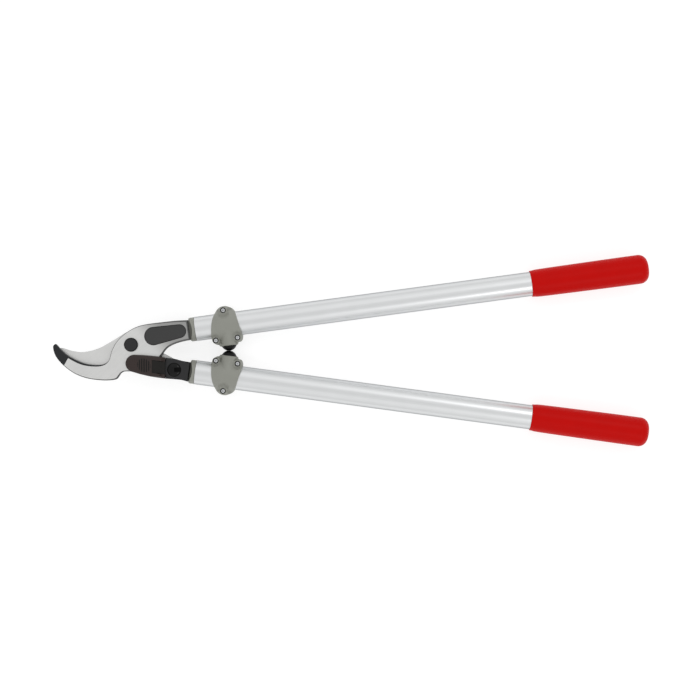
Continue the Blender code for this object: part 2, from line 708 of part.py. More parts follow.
def grip(side):
    """The rubber sleeve over the tube's end, swelling towards its round end."""
    bore = TUBE_RADIUS + GAP
    cap = arc((GRIP_END - GRIP_END_RADIUS, GRIP_RADIUS - GRIP_END_RADIUS), GRIP_END_RADIUS,
              0, 90, 6)
    profile = [(0.0, GRIP_END)] + [(radius, along) for along, radius in cap]
    profile += [(TUBE_RADIUS + GRIP_NECK, GRIP_START + GRIP_NECK_LENGTH),
                (TUBE_RADIUS + GRIP_LIP, GRIP_START), (bore, GRIP_START),
                (bore, TUBE_LENGTH + GAP), (0.0, TUBE_LENGTH + GAP)]
    return turned(side + "_grip", profile, HANDLES[side], red_rubber(), FINE, along_x=True)


def bumper_centre():
    """How far the bumper's ball centre lies from the tube's axis, for balls that just touch."""
    axis_height = TUBE_START_HALF_GAP + BUMPER_X * math.sin(TAPER)
    return (axis_height - BUMPER_SPHERE_RADIUS - GAP / 2) / math.cos(TAPER)


def bumper(side):
    """The rubber stop: part of a ball on a stem that the clamp's halves hold."""
    centre = bumper_centre()
    base = BUMPER_SEAT + GAP
    lowest = math.degrees(math.asin((base - centre) / BUMPER_SPHERE_RADIUS))
    ball = arc((0.0, centre), BUMPER_SPHERE_RADIUS, 90, lowest, 6)
    stem = BUMPER_STEM_DIAMETER / 2
    stem_end = BUMPER_SEAT - BUMPER_STEM_LENGTH
    profile = [(0.0, ball[0][1]), *ball[1:], (stem, base), (stem, stem_end), (0.0, stem_end)]
    made = turned(side + "_bumper", profile, HANDLES[side], black_rubber(), SMALL + 8,
                  along_y=-SIDES[side])
    made.location.x = BUMPER_X * MM
    return made


def clamp_outline(side):
    """The clamp as seen from the front, turned over for the lower handle."""
    near = [(x, radii * TUBE_RADIUS) for x, radii in CLAMP_NEAR]
    far = [(x, radii * TUBE_RADIUS) for x, radii in CLAMP_FAR]
    seat = [(x, -BUMPER_SEAT) for x in CLAMP_SEAT_X]
    outline = spline([*near, seat[0]]) + spline([seat[1], *far, near[0]])[:-1]
    return [(x, SIDES[side] * y) for x, y in outline]


def clamp_half(side, face, facing):
    """One half of a stop clamp: facing is 1 for the front half and -1 for the rear half."""
    axis = HANDLES[side]
    name = side + "_clamp_" + face
    left = min(x for x, _ in CLAMP_NEAR) - 1.0
    right = max(x for x, _ in CLAMP_FAR) + 1.0
    reach = BUMPER_SEAT + 1.0
    made = block(name, (left, -reach, -CLAMP_FLANGE_HEIGHT), (right, reach, CLAMP_FLANGE_HEIGHT),
                 axis, grey_casting())
    join(made, rod(name + "_saddle", CLAMP_HALF_DEPTH + CLAMP_FLAT_DEPTH, left - 1.0,
                   right + 1.0, axis, sides=FINE, along_x=True))
    socket = rod(name + "_socket", SOCKET_RADIUS, 0.0, BUMPER_SEAT + 2.0, axis, sides=FINE,
                 along_y=-SIDES[side])
    socket.location.x = BUMPER_X * MM
    join(made, socket)
    for x, y in CLAMP_SCREWS:
        boss = rod(name + "_boss", CLAMP_BOSS_RADIUS, -CLAMP_BOSS_HEIGHT, CLAMP_BOSS_HEIGHT,
                   axis, sides=SMALL + 8)
        boss.location = Vector((x, SIDES[side] * y, 0.0)) * MM
        join(made, boss)
    heights = sorted((facing * CLAMP_SPLIT, facing * CLAMP_HALF_DEPTH))
    combine(made, plate(name + "_trim", clamp_outline(side), *heights, axis), "INTERSECT")
    cut(made, rod(name + "_bore", TUBE_RADIUS + GAP, left - 2.0, right + 2.0, axis, sides=FINE,
                  along_x=True))
    stem = rod(name + "_stem_bore", BUMPER_STEM_DIAMETER / 2 + GAP, 0.0, BUMPER_SEAT + 3.0, axis,
               sides=SMALL + 8, along_y=-SIDES[side])
    stem.location.x = BUMPER_X * MM
    cut(made, stem)
    for place in CLAMP_SCREWS:
        cut(made, screw_hole(name + "_screw_hole", side, place))
    return made


def screw_hole(name, side, place):
    """The counterbore and bore of one clamp screw, blind in the rear half."""
    wide, narrow = COUNTERBORE_DIAMETER / 2, SCREW_DIAMETER / 2 + GAP
    top, bottom = CLAMP_HALF_DEPTH + 2.0, -SCREW_REACH - GAP
    made = turned(name, (
        (0.0, top), (wide, top), (wide, COUNTERBORE_FLOOR), (narrow, COUNTERBORE_FLOOR),
        (narrow, bottom), (0.0, bottom),
    ), HANDLES[side], sides=SMALL + 4)
    made.location = Vector((place[0], SIDES[side] * place[1], 0.0)) * MM
    return made


def clamp_screw(side, number, place):
    """A cap screw with a hexagon socket, from the front half into the rear half."""
    head, shank = SCREW_HEAD_DIAMETER / 2, SCREW_DIAMETER / 2
    base = COUNTERBORE_FLOOR + GAP
    made = turned(f"{side}_clamp_screw_{number}", (
        (0.0, base + SCREW_HEAD_HEIGHT), (head, base + SCREW_HEAD_HEIGHT), (head, base),
        (shank, base), (shank, -SCREW_REACH), (0.0, -SCREW_REACH),
    ), HANDLES[side], bright_steel(), SMALL)
    made.location = Vector((place[0], SIDES[side] * place[1], 0.0)) * MM
    return made


def handle(side):
    ferrule(side)
    tube(side)
    grip(side)
    bumper(side)
    clamp_half(side, "front", 1)
    clamp_half(side, "rear", -1)
    for number, place in enumerate(CLAMP_SCREWS, 1):
        clamp_screw(side, number, place)


# ---------------------------------------------------------------- the whole tool

clear_scene()
PARTS = new_collection("bypass_loppers")
CUTTERS = new_collection("cutters")

main_pivot = empty("main_pivot_axis", FRAME_ORIGIN)
lever_pivot = empty("lever_pivot_axis", (*LEVER_PIVOT, 0.0), main_pivot)
drive_axis = empty("drive_pin_axis", (*from_lever_pivot([DRIVE_PIN])[0], 0.0), lever_pivot)
upper_start = on_handle("upper", 0.0, 0.0)
lower_start = from_lever_pivot([on_handle("lower", 0.0, 0.0)])[0]
HANDLES = {
    "upper": empty("upper_tube_axis", (*upper_start, 0.0), main_pivot, TAPER),
    "lower": empty("lower_tube_axis", (*lower_start, 0.0), lever_pivot, -TAPER),
}

hook_plate(main_pivot)
lever_pivot_screw(main_pivot)
handle("upper")

blade(main_pivot)
pivot_bolt(main_pivot)
pivot_washer(main_pivot)
pivot_nut(main_pivot)
lock_plate(main_pivot)
lock_screw(main_pivot)

lever(lever_pivot)
lever_bush(lever_pivot)
lever_cover(lever_pivot)
drive_pin(drive_axis)
drive_roller(drive_axis)
pin_clip(drive_axis)
handle("lower")
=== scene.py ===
"""Bypass loppers: the visible pieces, their finishes, and a plain studio seen from straight above.

Shapes are worked out in millimetres in two kinds of local frame, and turned into metres when a
piece is made. The head's frame starts at the main pivot, with +X to the grips. A handle's frame
starts at its tube's front end, with X along the tube and Y away from the other handle. Z = 0 is
midway through the tubes in both.
"""

import json
import math

import bmesh
import bpy
import numpy as np
from mathutils import Matrix, Vector
from mathutils.geometry import delaunay_2d_cdt


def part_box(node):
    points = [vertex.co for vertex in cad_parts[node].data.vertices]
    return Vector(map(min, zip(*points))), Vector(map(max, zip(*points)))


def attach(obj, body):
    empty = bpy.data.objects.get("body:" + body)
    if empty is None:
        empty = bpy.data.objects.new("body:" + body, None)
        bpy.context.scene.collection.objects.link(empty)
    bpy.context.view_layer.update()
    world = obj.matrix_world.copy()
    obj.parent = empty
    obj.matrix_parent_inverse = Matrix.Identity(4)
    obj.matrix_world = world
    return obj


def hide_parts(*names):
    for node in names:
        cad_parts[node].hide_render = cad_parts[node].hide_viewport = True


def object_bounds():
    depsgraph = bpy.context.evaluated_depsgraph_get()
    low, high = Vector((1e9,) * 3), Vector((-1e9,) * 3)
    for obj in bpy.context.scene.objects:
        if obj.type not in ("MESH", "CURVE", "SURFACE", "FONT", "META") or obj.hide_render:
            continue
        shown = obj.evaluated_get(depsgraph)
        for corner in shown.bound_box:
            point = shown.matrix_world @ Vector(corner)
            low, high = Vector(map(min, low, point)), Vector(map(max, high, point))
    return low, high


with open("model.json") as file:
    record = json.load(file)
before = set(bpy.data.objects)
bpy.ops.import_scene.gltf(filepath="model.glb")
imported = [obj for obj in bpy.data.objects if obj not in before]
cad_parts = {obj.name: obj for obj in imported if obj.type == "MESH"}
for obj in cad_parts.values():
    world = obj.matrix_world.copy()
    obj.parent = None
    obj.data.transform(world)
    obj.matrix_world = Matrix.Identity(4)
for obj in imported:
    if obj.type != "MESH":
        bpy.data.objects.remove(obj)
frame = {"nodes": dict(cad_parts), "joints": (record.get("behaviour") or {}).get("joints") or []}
cad_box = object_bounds()

MM = 0.001
GAP = 0.3
SIDES = {"upper": 1, "lower": -1}
BODIES = {"upper": "upper_handle_side", "lower": "lower_handle_side"}

JOINTS = {joint["name"]: Vector(joint["pos_m"]) for joint in frame["joints"]}
MAIN_PIVOT = JOINTS["blade_opening"]
LEVER_PIVOT = tuple((JOINTS["handle_opening"] - MAIN_PIVOT) / MM)[:2]
DRIVE_PIN = tuple((JOINTS["roller_spin"] - MAIN_PIVOT) / MM)[:2]


def low(node):
    """A CAD node's lowest corner, in millimetres from the main pivot."""
    return (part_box(node)[0] - MAIN_PIVOT) / MM


def high(node):
    return (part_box(node)[1] - MAIN_PIVOT) / MM


# Heights that the frame gives
PLATE_TOP = high("hook_plate").z
BLADE_FRONT = high("blade").z
BLADE_REAR = low("blade").z
LEVER_BASE = low("lever_bush").z
LEVER_FACE = high("lever").z
COVER_TOP_Z = high("lever_cover").z
BOLT_TOP = high("pivot_bolt").z
BOLT_END = low("pivot_bolt").z
WASHER_TOP, WASHER_REAR = high("pivot_washer").z, low("pivot_washer").z
NUT_TOP, NUT_REAR = high("pivot_nut").z, low("pivot_nut").z
LOCK_TOP, LOCK_REAR = high("lock_plate").z, low("lock_plate").z
CLIP_TOP, CLIP_REAR = high("pin_clip").z, low("pin_clip").z
PIN_TOP, PIN_END = high("drive_pin").z, low("drive_pin").z

# Handles
TAPER = math.radians(7.66)
TUBE_START = (85.8, 29.0)           # from the main pivot, and from the line midway
CENTRE_LINE_Y = -7.85
TUBE_RADIUS = 16.2
TUBE_WALL = 1.5
TUBE_LENGTH = 604.0
COLLAR_START = -8.2
COLLAR_RADIUS = 16.0
COLLAR_SLOPE = 4.5
SPIGOT_RADIUS = 14.4
SPIGOT_LENGTH = 38.0
STUB_DEPTH = 7.5                    # half of the stubs' depth and width
STUB_WIDTH = 9.9
STUB_LENGTH = 36.0
STUB_ROOT = 28.2                    # how far the upper stub runs back under the hook plate
STUB_ROOT_TOP = 6.5
GRIP_END = 612.3
GRIP_START = 453.8
GRIP_RADIUS = 19.5
GRIP_END_RADIUS = 12.0

# Head
SLIDE_GAP = 0.15
PIVOT_RADIUS = 5.0
PIVOT_BORE = ((0.0, 0.0), PIVOT_RADIUS + GAP)
NUT_ACROSS_FLATS = 15.0
LOCK_SCREW = (-15.0, 0.0)
LOCK_SCREW_BORE = 2.3
LEVER_SCREW_BORE = 4.3
LEVER_EYE_RADIUS = 7.0
BOLT_HEAD_RADIUS = 9.3
EDGE_BEVEL = 9.0
POCKET_DEPTH = 1.2
POCKET_ENDS = (((29.9, 11.5), 12.5), ((64.5, 18.1), 9.4))
COATED_TIP = ((-89.7, -27.7), (-84.4, -18.3))   # the straight end of the tip's coating
LEVER_DEEP_RADIUS = 37.0
LEVER_STEP_X = 47.0
LEVER_THICKNESS = LEVER_FACE - LEVER_BASE
PIN_RECESS_RADIUS = 9.3
DRIVE_HEAD_RADIUS = 8.8
PIN_RADIUS = 2.5
PIN_GROOVE_RADIUS = 1.9
COVER_END_X = 46.95
COVER_END_RADIUS = 11.6
COVER_WALL = 1.6
COVER_MIDDLE = (-25.2, 6.0 / 46.0)  # its middle line's y at x = 0, and how steeply it falls
COVER_SPACING = 0.62                # of the points its front is made from
RIBS_X = 18.2
RIBS_RADIUS = 9.2
RIB_PITCH = 3.1

BITE = ((59.0, 32.1), (39.0, 29.9), (22.8, 27.8), (11.5, 25.4), (1.3, 21.1), (-8.1, 14.9),
        (-14.8, 9.0), (-20.2, 2.6), (-24.8, -5.5), (-27.2, -12.5), (-29.0, -19.2),
        (-32.5, -23.9), (-38.0, -26.5), (-48.4, -27.2), (-62.0, -25.3), (-75.2, -20.0),
        (-88.7, -11.8), (-99.7, 0.0))
NOSE = ((-101.3, 1.1), (-103.6, -0.6), (-104.5, -4.0), (-102.1, -13.0), (-96.5, -21.5),
        (-87.3, -30.5), (-75.2, -38.8), (-61.8, -44.2), (-48.4, -46.8), (-35.0, -47.8),
        (-24.2, -47.2), (-18.9, -45.5), (-15.9, -41.6), (-13.3, -38.0), (-9.5, -36.0),
        (-2.0, -35.7), (5.5, -36.6), (16.0, -34.6), (26.8, -28.6), (34.8, -21.3),
        (41.3, -13.6), (48.3, -4.6), (57.7, 0.8), (70.0, 4.6))
BLADE_BACK = ((-98.6, -6.0), (-96.5, -4.6), (-93.0, -4.4), (-82.0, -7.8), (-68.5, -9.8),
              (-55.1, -8.1), (-41.7, -3.5), (-28.3, 3.9), (-14.8, 12.2), (-6.8, 16.9),
              (1.5, 18.1), (9.5, 15.6), (17.0, 8.8), (26.0, -1.0), (35.0, -8.4), (45.0, -12.6))
BLADE_EDGE = ((38.0, -32.6), (25.4, -26.0), (14.7, -20.8), (4.0, -18.1), (-5.4, -17.4),
              (-14.8, -18.0))
CUTTING_EDGE = ((-20.5, -21.5), (-26.0, -26.4), (-33.6, -30.3), (-43.0, -32.9), (-53.8, -33.2),
                (-64.5, -31.0), (-75.2, -25.9), (-84.6, -19.2), (-92.0, -12.6))
FORK_HALF_WIDTHS = (12.3, 8.9)
FORK_LENGTH = 15.0
ROLLER_RADIUS = 4.0
ROLLER_SIDE_PLAY = 0.7
FORK_BOTTOM_PLAY = 0.6
ARM_END = (-13.9, 13.1)             # across the upper handle, at its collar
LEVER_END = (13.6, -12.4)
COVER_TOP = ((14.7, -13.7), (28.1, -14.8), (38.0, -15.8))
COVER_BOTTOM = ((38.9, -44.4), (25.4, -42.3), (12.0, -39.2))
LEVER_TOP = ((47.0, -17.5), (57.7, -18.8), (68.4, -21.6))
LEVER_BOTTOM = ((65.7, -46.8), (47.0, -45.3))

# Clamps, in a handle's frame; the outline's distances across are in tube radii
CLAMP_NEAR = ((44.1, 1.56), (38.5, 1.54), (33.2, 1.40), (29.6, 1.14), (25.2, 0.62), (22.8, 0.12),
              (21.3, -0.49), (20.4, -0.96), (21.5, -1.31), (25.9, -1.53), (28.6, -1.59))
CLAMP_FAR = ((54.6, -1.56), (58.6, -1.51), (61.1, -1.28), (61.4, -0.95), (60.5, -0.59),
             (59.2, -0.15), (57.6, 0.46), (55.7, 0.95), (51.6, 1.33))
CLAMP_SEAT_X = (30.2, 53.6)
CLAMP_SCREWS = ((40.3, 19.75), (25.4, -19.0), (54.7, -19.0))
CLAMP_HALF_DEPTH = 19.5
CLAMP_SPLIT = 0.15
CLAMP_FLANGE = 6.0
CLAMP_SADDLE = 20.3
CLAMP_BOSS = (5.4, 11.0)            # radius and height
COUNTERBORE = (3.75, 7.5)           # radius, and the height of its floor
SCREW_RADIUS = 1.5
SCREW_HEAD = (2.75, 3.0)            # radius and height
SCREW_REACH = 9.0
BUMPER_X = 41.8
BUMPER_SEAT = 28.0
BUMPER_RADIUS = 10.7
BUMPER_SKIRT = 10.3                 # radius where it sits on the clamp
BUMPER_STEM = (4.0, 8.0)            # radius and length
BUMPER_LIFT = 0.02                  # of the skirt over the clamp
BUMPER_FLAT = 0.02                  # from the flattened ball to the middle line
BUMPER_SQUASH = 0.35
SOCKET_RADIUS = 10.3

# Sides of round bores through flat pieces, and of the holes in a clamp
BORE_SIDES = 36
HOLE_SIDES = 28


# ---------------------------------------------------------------- finishes

NOISE_RANGE = (0.25, 0.75)          # where nearly all of a noise's values lie
CLOUD_SCALE = 45.0                  # of the broad noise, per metre


def set_inputs(node, **values):
    """Sets a node's inputs by name, with _ for a space."""
    for socket, value in values.items():
        node.inputs[socket.replace("_", " ")].default_value = value
    return node


def surface(name, colour, roughness, metallic=0.0, grain=1.0, turn=0.0, tone=0.06, spread=0.05,
            relief=0.0, cloud=0.05, fade=None, **sockets):
    """A Principled finish with a fine grain and a broad cloudiness in its colour and roughness.

    grain is the noise's frequency per millimetre, one for all or one for each local axis, and
    turn swings it about Z. tone and spread are how far the grain moves the colour and the
    roughness, relief is its height in millimetres, and cloud is how far the broad noise moves
    the colour. fade is a direction, where along it the colour starts and stops darkening, and
    what is left of it there.
    """
    made = bpy.data.materials.new(name)
    made.use_nodes = True
    nodes, links = made.node_tree.nodes, made.node_tree.links

    def new(kind, operation=None, **values):
        node = nodes.new("ShaderNode" + kind)
        if operation:
            node.operation = operation
        return set_inputs(node, **values)

    def ranged(source, start, end, first, last):
        node = new("MapRange", From_Min=start, From_Max=end, To_Min=first, To_Max=last)
        links.new(source, node.inputs["Value"])
        return node

    def varied(noise, middle, reach):
        return ranged(noise.outputs["Fac"], *NOISE_RANGE, middle - reach, middle + reach)

    def product(first, second):
        node = new("Math", "MULTIPLY")
        links.new(first.outputs[0], node.inputs[0])
        links.new(second.outputs[0], node.inputs[1])
        return node

    shader = set_inputs(nodes["Principled BSDF"], Metallic=metallic, **sockets)
    place = new("TexCoord").outputs["Object"]
    grain = grain if isinstance(grain, tuple) else (grain, grain, grain)
    mapping = new("Mapping", Rotation=(0.0, 0.0, turn), Scale=tuple(MM / each for each in grain))
    mapping.vector_type = "TEXTURE"
    links.new(place, mapping.inputs["Vector"])
    fine = new("TexNoise", Scale=1.0, Detail=5.0, Roughness=0.6)
    links.new(mapping.outputs["Vector"], fine.inputs["Vector"])
    broad = new("TexNoise", Scale=CLOUD_SCALE, Detail=3.0)
    links.new(place, broad.inputs["Vector"])

    shade = product(varied(fine, 1.0, tone), varied(broad, 1.0, cloud))
    if fade:
        direction, near, far, left = fade
        along = new("VectorMath", "DOT_PRODUCT")
        along.inputs[1].default_value = direction
        links.new(place, along.inputs[0])
        ramp = ranged(along.outputs["Value"], near * MM, far * MM, 1.0, left)
        ramp.interpolation_type = "SMOOTHSTEP"
        shade = product(shade, ramp)
    tint = new("VectorMath", "SCALE")
    tint.inputs[0].default_value = colour
    links.new(shade.outputs["Value"], tint.inputs["Scale"])
    links.new(tint.outputs["Vector"], shader.inputs["Base Color"])
    links.new(varied(fine, roughness, spread).outputs["Result"], shader.inputs["Roughness"])
    if relief:
        dents = new("Bump", Strength=1.0, Distance=relief * MM)
        links.new(fine.outputs["Fac"], dents.inputs["Height"])
        links.new(dents.outputs["Normal"], shader.inputs["Normal"])
    return made


# Ground steel face. Along fade its colour darkens towards the collar: painted shade for the face
# curving away and reflecting less, where the ground finish also turns grey.
GROUND = surface("ground_steel_and_painted_shade", (0.70, 0.70, 0.69), 0.36, 1.0, (0.05, 2.2, 0.05),
                 math.radians(40), tone=0.06, spread=0.06, relief=0.006, cloud=0.03,
                 fade=((0.75, 0.66, 0.0), 12.0, 50.0, 0.5))
# Forged skin on the sides, and painted shade: darkened well below bare steel so that the rounded
# edges read as dark outlines instead of reflecting bright.
FORGED_AND_SHADE = surface("forged_skin_and_edge_shade", (0.055, 0.055, 0.055), 0.5, grain=0.6, tone=0.2, spread=0.1,
                 relief=0.03, cloud=0.12)
COATED = surface("coated_tip", (0.008, 0.009, 0.011), 0.42, grain=1.2, tone=0.12, spread=0.08,
                 relief=0.01, cloud=0.08, Specular_IOR_Level=0.35)
# Painted shade: near-black put on pocket walls, the bolt head's rim, the pin's notch and recess and
# the clamps' counterbores, where shade falls.
PAINTED_SHADE_BLACK = surface("painted_shade_black", (0.002, 0.002, 0.002), 0.5, grain=1.2, tone=0.2, spread=0.08,
                     relief=0.01, cloud=0.1, Specular_IOR_Level=0.08)
# Painted shade: a darker steel on the arm's rounded edges, where they curve away from the light.
EDGE_SHADE = surface("painted_edge_shade", (0.13, 0.13, 0.128), 0.42, 1.0, 0.9, tone=0.12, spread=0.08,
                    relief=0.01, cloud=0.08)
PAINTED = surface("pocket_paint", (0.025, 0.025, 0.025), 0.5, grain=1.6, tone=0.1, spread=0.06,
                  relief=0.012)
BLACKENED = surface("blackened_steel", (0.009, 0.009, 0.010), 0.45, grain=0.8, tone=0.15,
                    spread=0.08, relief=0.015, cloud=0.1, Specular_IOR_Level=0.4)
GLOSS_BLACK = surface("gloss_black", (0.003, 0.003, 0.003), 0.16, grain=0.5, tone=0.1,
                      spread=0.03, Specular_IOR_Level=0.2)
ZINC = surface("zinc_steel", (0.60, 0.61, 0.62), 0.32, 1.0, 1.5, tone=0.08, spread=0.08,
               relief=0.004, cloud=0.06)
BRONZE = surface("bronze", (0.45, 0.30, 0.12), 0.4, 1.0)
ANODISED = surface("satin_aluminium", (0.72, 0.73, 0.735), 0.32, 1.0, (0.012, 1.6, 1.6),
                   tone=0.02, spread=0.03, relief=0.003, cloud=0.012,
                   Specular_Tint=(0.25, 0.26, 0.27, 1.0))
NYLON = surface("grey_nylon", (0.248, 0.252, 0.222), 0.5, grain=2.4, tone=0.05, relief=0.02,
                cloud=0.035)
# Painted shade: a darker nylon on the collars' slanted faces.
NYLON_SHADE = surface("nylon_painted_shade", (0.115, 0.117, 0.102), 0.4, grain=1.4, tone=0.08,
                      relief=0.01, cloud=0.08)
COVER = surface("cover_plastic", (0.024, 0.014, 0.012), 0.30, grain=2.0, tone=0.1, spread=0.06,
                relief=0.012, cloud=0.12, Specular_IOR_Level=0.35)
# Painted shade: a darker plastic in the cover's rib grooves and its let-down pocket towards the
# pin.
COVER_SHADE = surface("cover_pocket", (0.008, 0.007, 0.006), 0.45, grain=2.0, tone=0.15,
                     spread=0.06, relief=0.02, cloud=0.12, Specular_IOR_Level=0.22)
VINYL = surface("red_vinyl", (0.50, 0.002, 0.001), 0.42, grain=1.3, tone=0.03, spread=0.04,
                relief=0.012, cloud=0.03, Specular_IOR_Level=0.07)
RUBBER = surface("black_rubber", (0.005, 0.005, 0.005), 0.4, grain=2.0, tone=0.1, spread=0.06,
                 relief=0.015, Specular_IOR_Level=0.2)


# ---------------------------------------------------------------- outlines

def spline(points, steps=7):
    """The points of a smooth curve through the given points, ends included."""
    padded = [points[0], *points, points[-1]]
    result = []
    for before, start, end, after in zip(padded, padded[1:], padded[2:], padded[3:]):
        for step in range(steps):
            t = step / steps
            result.append(tuple(
                0.5 * (2 * b + (c - a) * t + (2 * a - 5 * b + 4 * c - d) * t ** 2
                       + (3 * b - a - 3 * c + d) * t ** 3)
                for a, b, c, d in zip(before, start, end, after)))
    return result + [tuple(points[-1])]


def arc(centre, radius, start, end, steps):
    """Points on an arc, with its angles in degrees."""
    turns = [math.radians(start + (end - start) * step / steps) for step in range(steps + 1)]
    return [(centre[0] + radius * math.cos(turn), centre[1] + radius * math.sin(turn))
            for turn in turns]


def circle(centre, radius, steps=48):
    return arc(centre, radius, 0, 360, steps)[:-1]


def hexagon(centre, across_flats):
    return circle(centre, across_flats / 2 / math.cos(math.radians(30)), 6)


def hull_of_circles(ends):
    """The outline round two circles, anticlockwise, with the left circle first."""
    (left, big), (right, small) = ends
    run = Vector(right) - Vector(left)
    heading = math.degrees(math.atan2(run.y, run.x))
    lean = math.degrees(math.acos((big - small) / run.length))
    return (arc(left, big, heading + lean, heading + 360 - lean, 28)
            + arc(right, small, heading - lean, heading + lean, 24))


def resampled(points, spacing, closed=True):
    """Evenly spaced points along an outline."""
    run = [Vector(point) for point in points] + ([Vector(points[0])] if closed else [])
    lengths = [0.0]
    for first, second in zip(run, run[1:]):
        lengths.append(lengths[-1] + (second - first).length)
    count = max(3, round(lengths[-1] / spacing))
    places = [lengths[-1] * index / count for index in range(count if closed else count + 1)]
    xs = np.interp(places, lengths, [point.x for point in run])
    ys = np.interp(places, lengths, [point.y for point in run])
    return list(zip(xs.tolist(), ys.tolist()))


def inset(points, distances):
    """A closed anticlockwise outline moved inwards by a distance at each point."""
    if isinstance(distances, (int, float)):
        distances = [distances] * len(points)
    moved = []
    for index, distance in enumerate(distances):
        before, here = Vector(points[index - 1]), Vector(points[index])
        after = Vector(points[(index + 1) % len(points)])
        first, second = (here - before).normalized(), (after - here).normalized()
        heading = (first + second).normalized()
        reach = distance / max(0.5, heading.dot(first))
        moved.append((here.x - heading.y * reach, here.y + heading.x * reach))
    return moved


def on_handle(side, along, across):
    """A point in the head's frame, from its place in a handle's frame."""
    x = TUBE_START[0] + along * math.cos(TAPER) - across * math.sin(TAPER)
    y = TUBE_START[1] + along * math.sin(TAPER) + across * math.cos(TAPER)
    return x, CENTRE_LINE_Y + SIDES[side] * y


def on_fork(along, across):
    turn = math.atan2(DRIVE_PIN[1], DRIVE_PIN[0])
    return (along * math.cos(turn) - across * math.sin(turn),
            along * math.sin(turn) + across * math.cos(turn))


# ---------------------------------------------------------------- mesh building

def ring(work, points, height):
    """Vertices on an outline at one height, or at one height each."""
    heights = [height] * len(points) if isinstance(height, (int, float)) else height
    return [work.verts.new((x, y, z)) for (x, y), z in zip(points, heights)]


def skin(work, first, second, finishes=0):
    """The band of faces between two rings; finishes is one slot or one for each face."""
    for index in range(len(first)):
        after = (index + 1) % len(first)
        face = work.faces.new((first[index], first[after], second[after], second[index]))
        face.material_index = finishes if isinstance(finishes, int) else finishes[index]


def cap(work, loops, finish=0):
    """A flat face with holes, filled between its outer ring and any inner rings."""
    edges = []
    for loop in loops:
        for first, second in zip(loop, loop[1:] + loop[:1]):
            edges.append(work.edges.get((first, second)) or work.edges.new((first, second)))
    made = bmesh.ops.triangle_fill(work, use_beauty=True, edges=edges)["geom"]
    for face in made:
        if isinstance(face, bmesh.types.BMFace):
            face.material_index = finish


def rounded(radius, steps=4):
    """Pairs of inset and drop that round an edge over, from its side to its face."""
    if not radius:
        return [(0.0, 0.0)]
    turns = [math.radians(90 * step / steps) for step in range(steps + 1)]
    return [(radius * (1 - math.cos(turn)), radius * (1 - math.sin(turn))) for turn in turns]


def drilled(work, bores, high_z, low_z, finish=0):
    """The walls of round bores; returns the rings round their front and rear ends."""
    fronts = [ring(work, circle(*bore, BORE_SIDES), high_z) for bore in bores]
    rears = [ring(work, circle(*bore, BORE_SIDES), low_z) for bore in bores]
    for front, rear in zip(fronts, rears):
        skin(work, front, rear, finish)
    return fronts, rears


def slab(outline, low_z, high_z, front=0.4, rear=0.3, bores=(), pockets=(), side_finish=0):
    """A flat piece with rounded edges, round bores right through and pockets in its front."""
    work = bmesh.new()
    rings = []
    for step, drop in reversed(rounded(rear, 2)):
        rings.append(ring(work, inset(outline, step), low_z + drop))
    for step, drop in rounded(front, 3):
        rings.append(ring(work, inset(outline, step), high_z - drop))
    for index, (first, second) in enumerate(zip(rings, rings[1:])):
        skin(work, first, second, 0 if index >= len(rings) - 3 else side_finish)
    fronts, rears = drilled(work, bores, high_z, low_z, side_finish)
    for shape, depth, floor_finish, wall_finish in pockets:
        fronts.append(pocket(work, shape, high_z, depth, floor_finish, wall_finish))
    cap(work, [rings[-1], *fronts])
    cap(work, [rings[0], *rears], side_finish)
    return work


def pocket(work, shape, top, depth, floor_finish, wall_finish, lip=0.25):
    """A recess below a flat face; returns the ring that the face is cut to."""
    steps = [(0.0, 0.0), (lip * 0.3, lip * 0.1), (lip, lip * 0.9), (lip, depth - 0.2),
             (lip + 0.2, depth)]
    rings = [ring(work, inset(shape, step), top - drop) for step, drop in steps]
    for index, (first, second) in enumerate(zip(rings, rings[1:])):
        skin(work, first, second, wall_finish if index > 0 else 0)
    cap(work, [rings[-1]], floor_finish)
    return rings[0]


def lathe(profile, sides=64, centre=(0.0, 0.0)):
    """A profile of (radius, height) turned about a line along Z; one off the axis closes."""
    work = bmesh.new()
    rings = []
    for radius, height in profile:
        if radius < 1e-6:
            rings.append([work.verts.new((*centre, height))])
        else:
            rings.append(ring(work, circle(centre, radius, sides), height))
    if profile[0][0] > 1e-6:
        rings.append(rings[0])
    for first, second in zip(rings, rings[1:]):
        if len(first) == 1 or len(second) == 1:
            tip, edge = (first, second) if len(first) == 1 else (second, first)
            for one, two in zip(edge, edge[1:] + edge[:1]):
                work.faces.new((tip[0], one, two))
        else:
            skin(work, first, second)
    return work


def box(lows, highs, chamfer=0.6):
    """A block with rounded edges."""
    work = bmesh.new()
    (x0, y0, z0), (x1, y1, z1) = lows, highs
    made = bmesh.ops.create_cube(work, size=1.0)["verts"]
    bmesh.ops.scale(work, vec=(x1 - x0, y1 - y0, z1 - z0), verts=made)
    bmesh.ops.translate(work, vec=((x0 + x1) / 2, (y0 + y1) / 2, (z0 + z1) / 2), verts=made)
    edges = {edge for vert in made for edge in vert.link_edges}
    bmesh.ops.bevel(work, geom=list(edges), offset=chamfer, segments=3, profile=0.5,
                    affect="EDGES")
    return work


def distances_to(points, line):
    """How far each point is from a line of points."""
    points = np.array(points, float)[:, None, :]
    starts, ends = np.array(line[:-1], float), np.array(line[1:], float)
    runs = ends - starts
    shares = np.clip(((points - starts) * runs).sum(2) / (runs ** 2).sum(1), 0.0, 1.0)
    return np.sqrt(((points - starts - runs * shares[:, :, None]) ** 2).sum(2).min(1))


def inside(points, outline):
    """Which points lie inside a closed outline."""
    points = np.array(points, float)
    x, y = points[:, 0:1], points[:, 1:2]
    corners = np.array(outline, float)
    following = np.roll(corners, -1, axis=0)
    x0, y0, x1, y1 = corners[:, 0], corners[:, 1], following[:, 0], following[:, 1]
    crosses = (y0 > y) != (y1 > y)
    run = np.where(y1 == y0, 1e-12, y1 - y0)
    return (crosses & (x < x0 + (y - y0) * (x1 - x0) / run)).sum(1) % 2 == 1


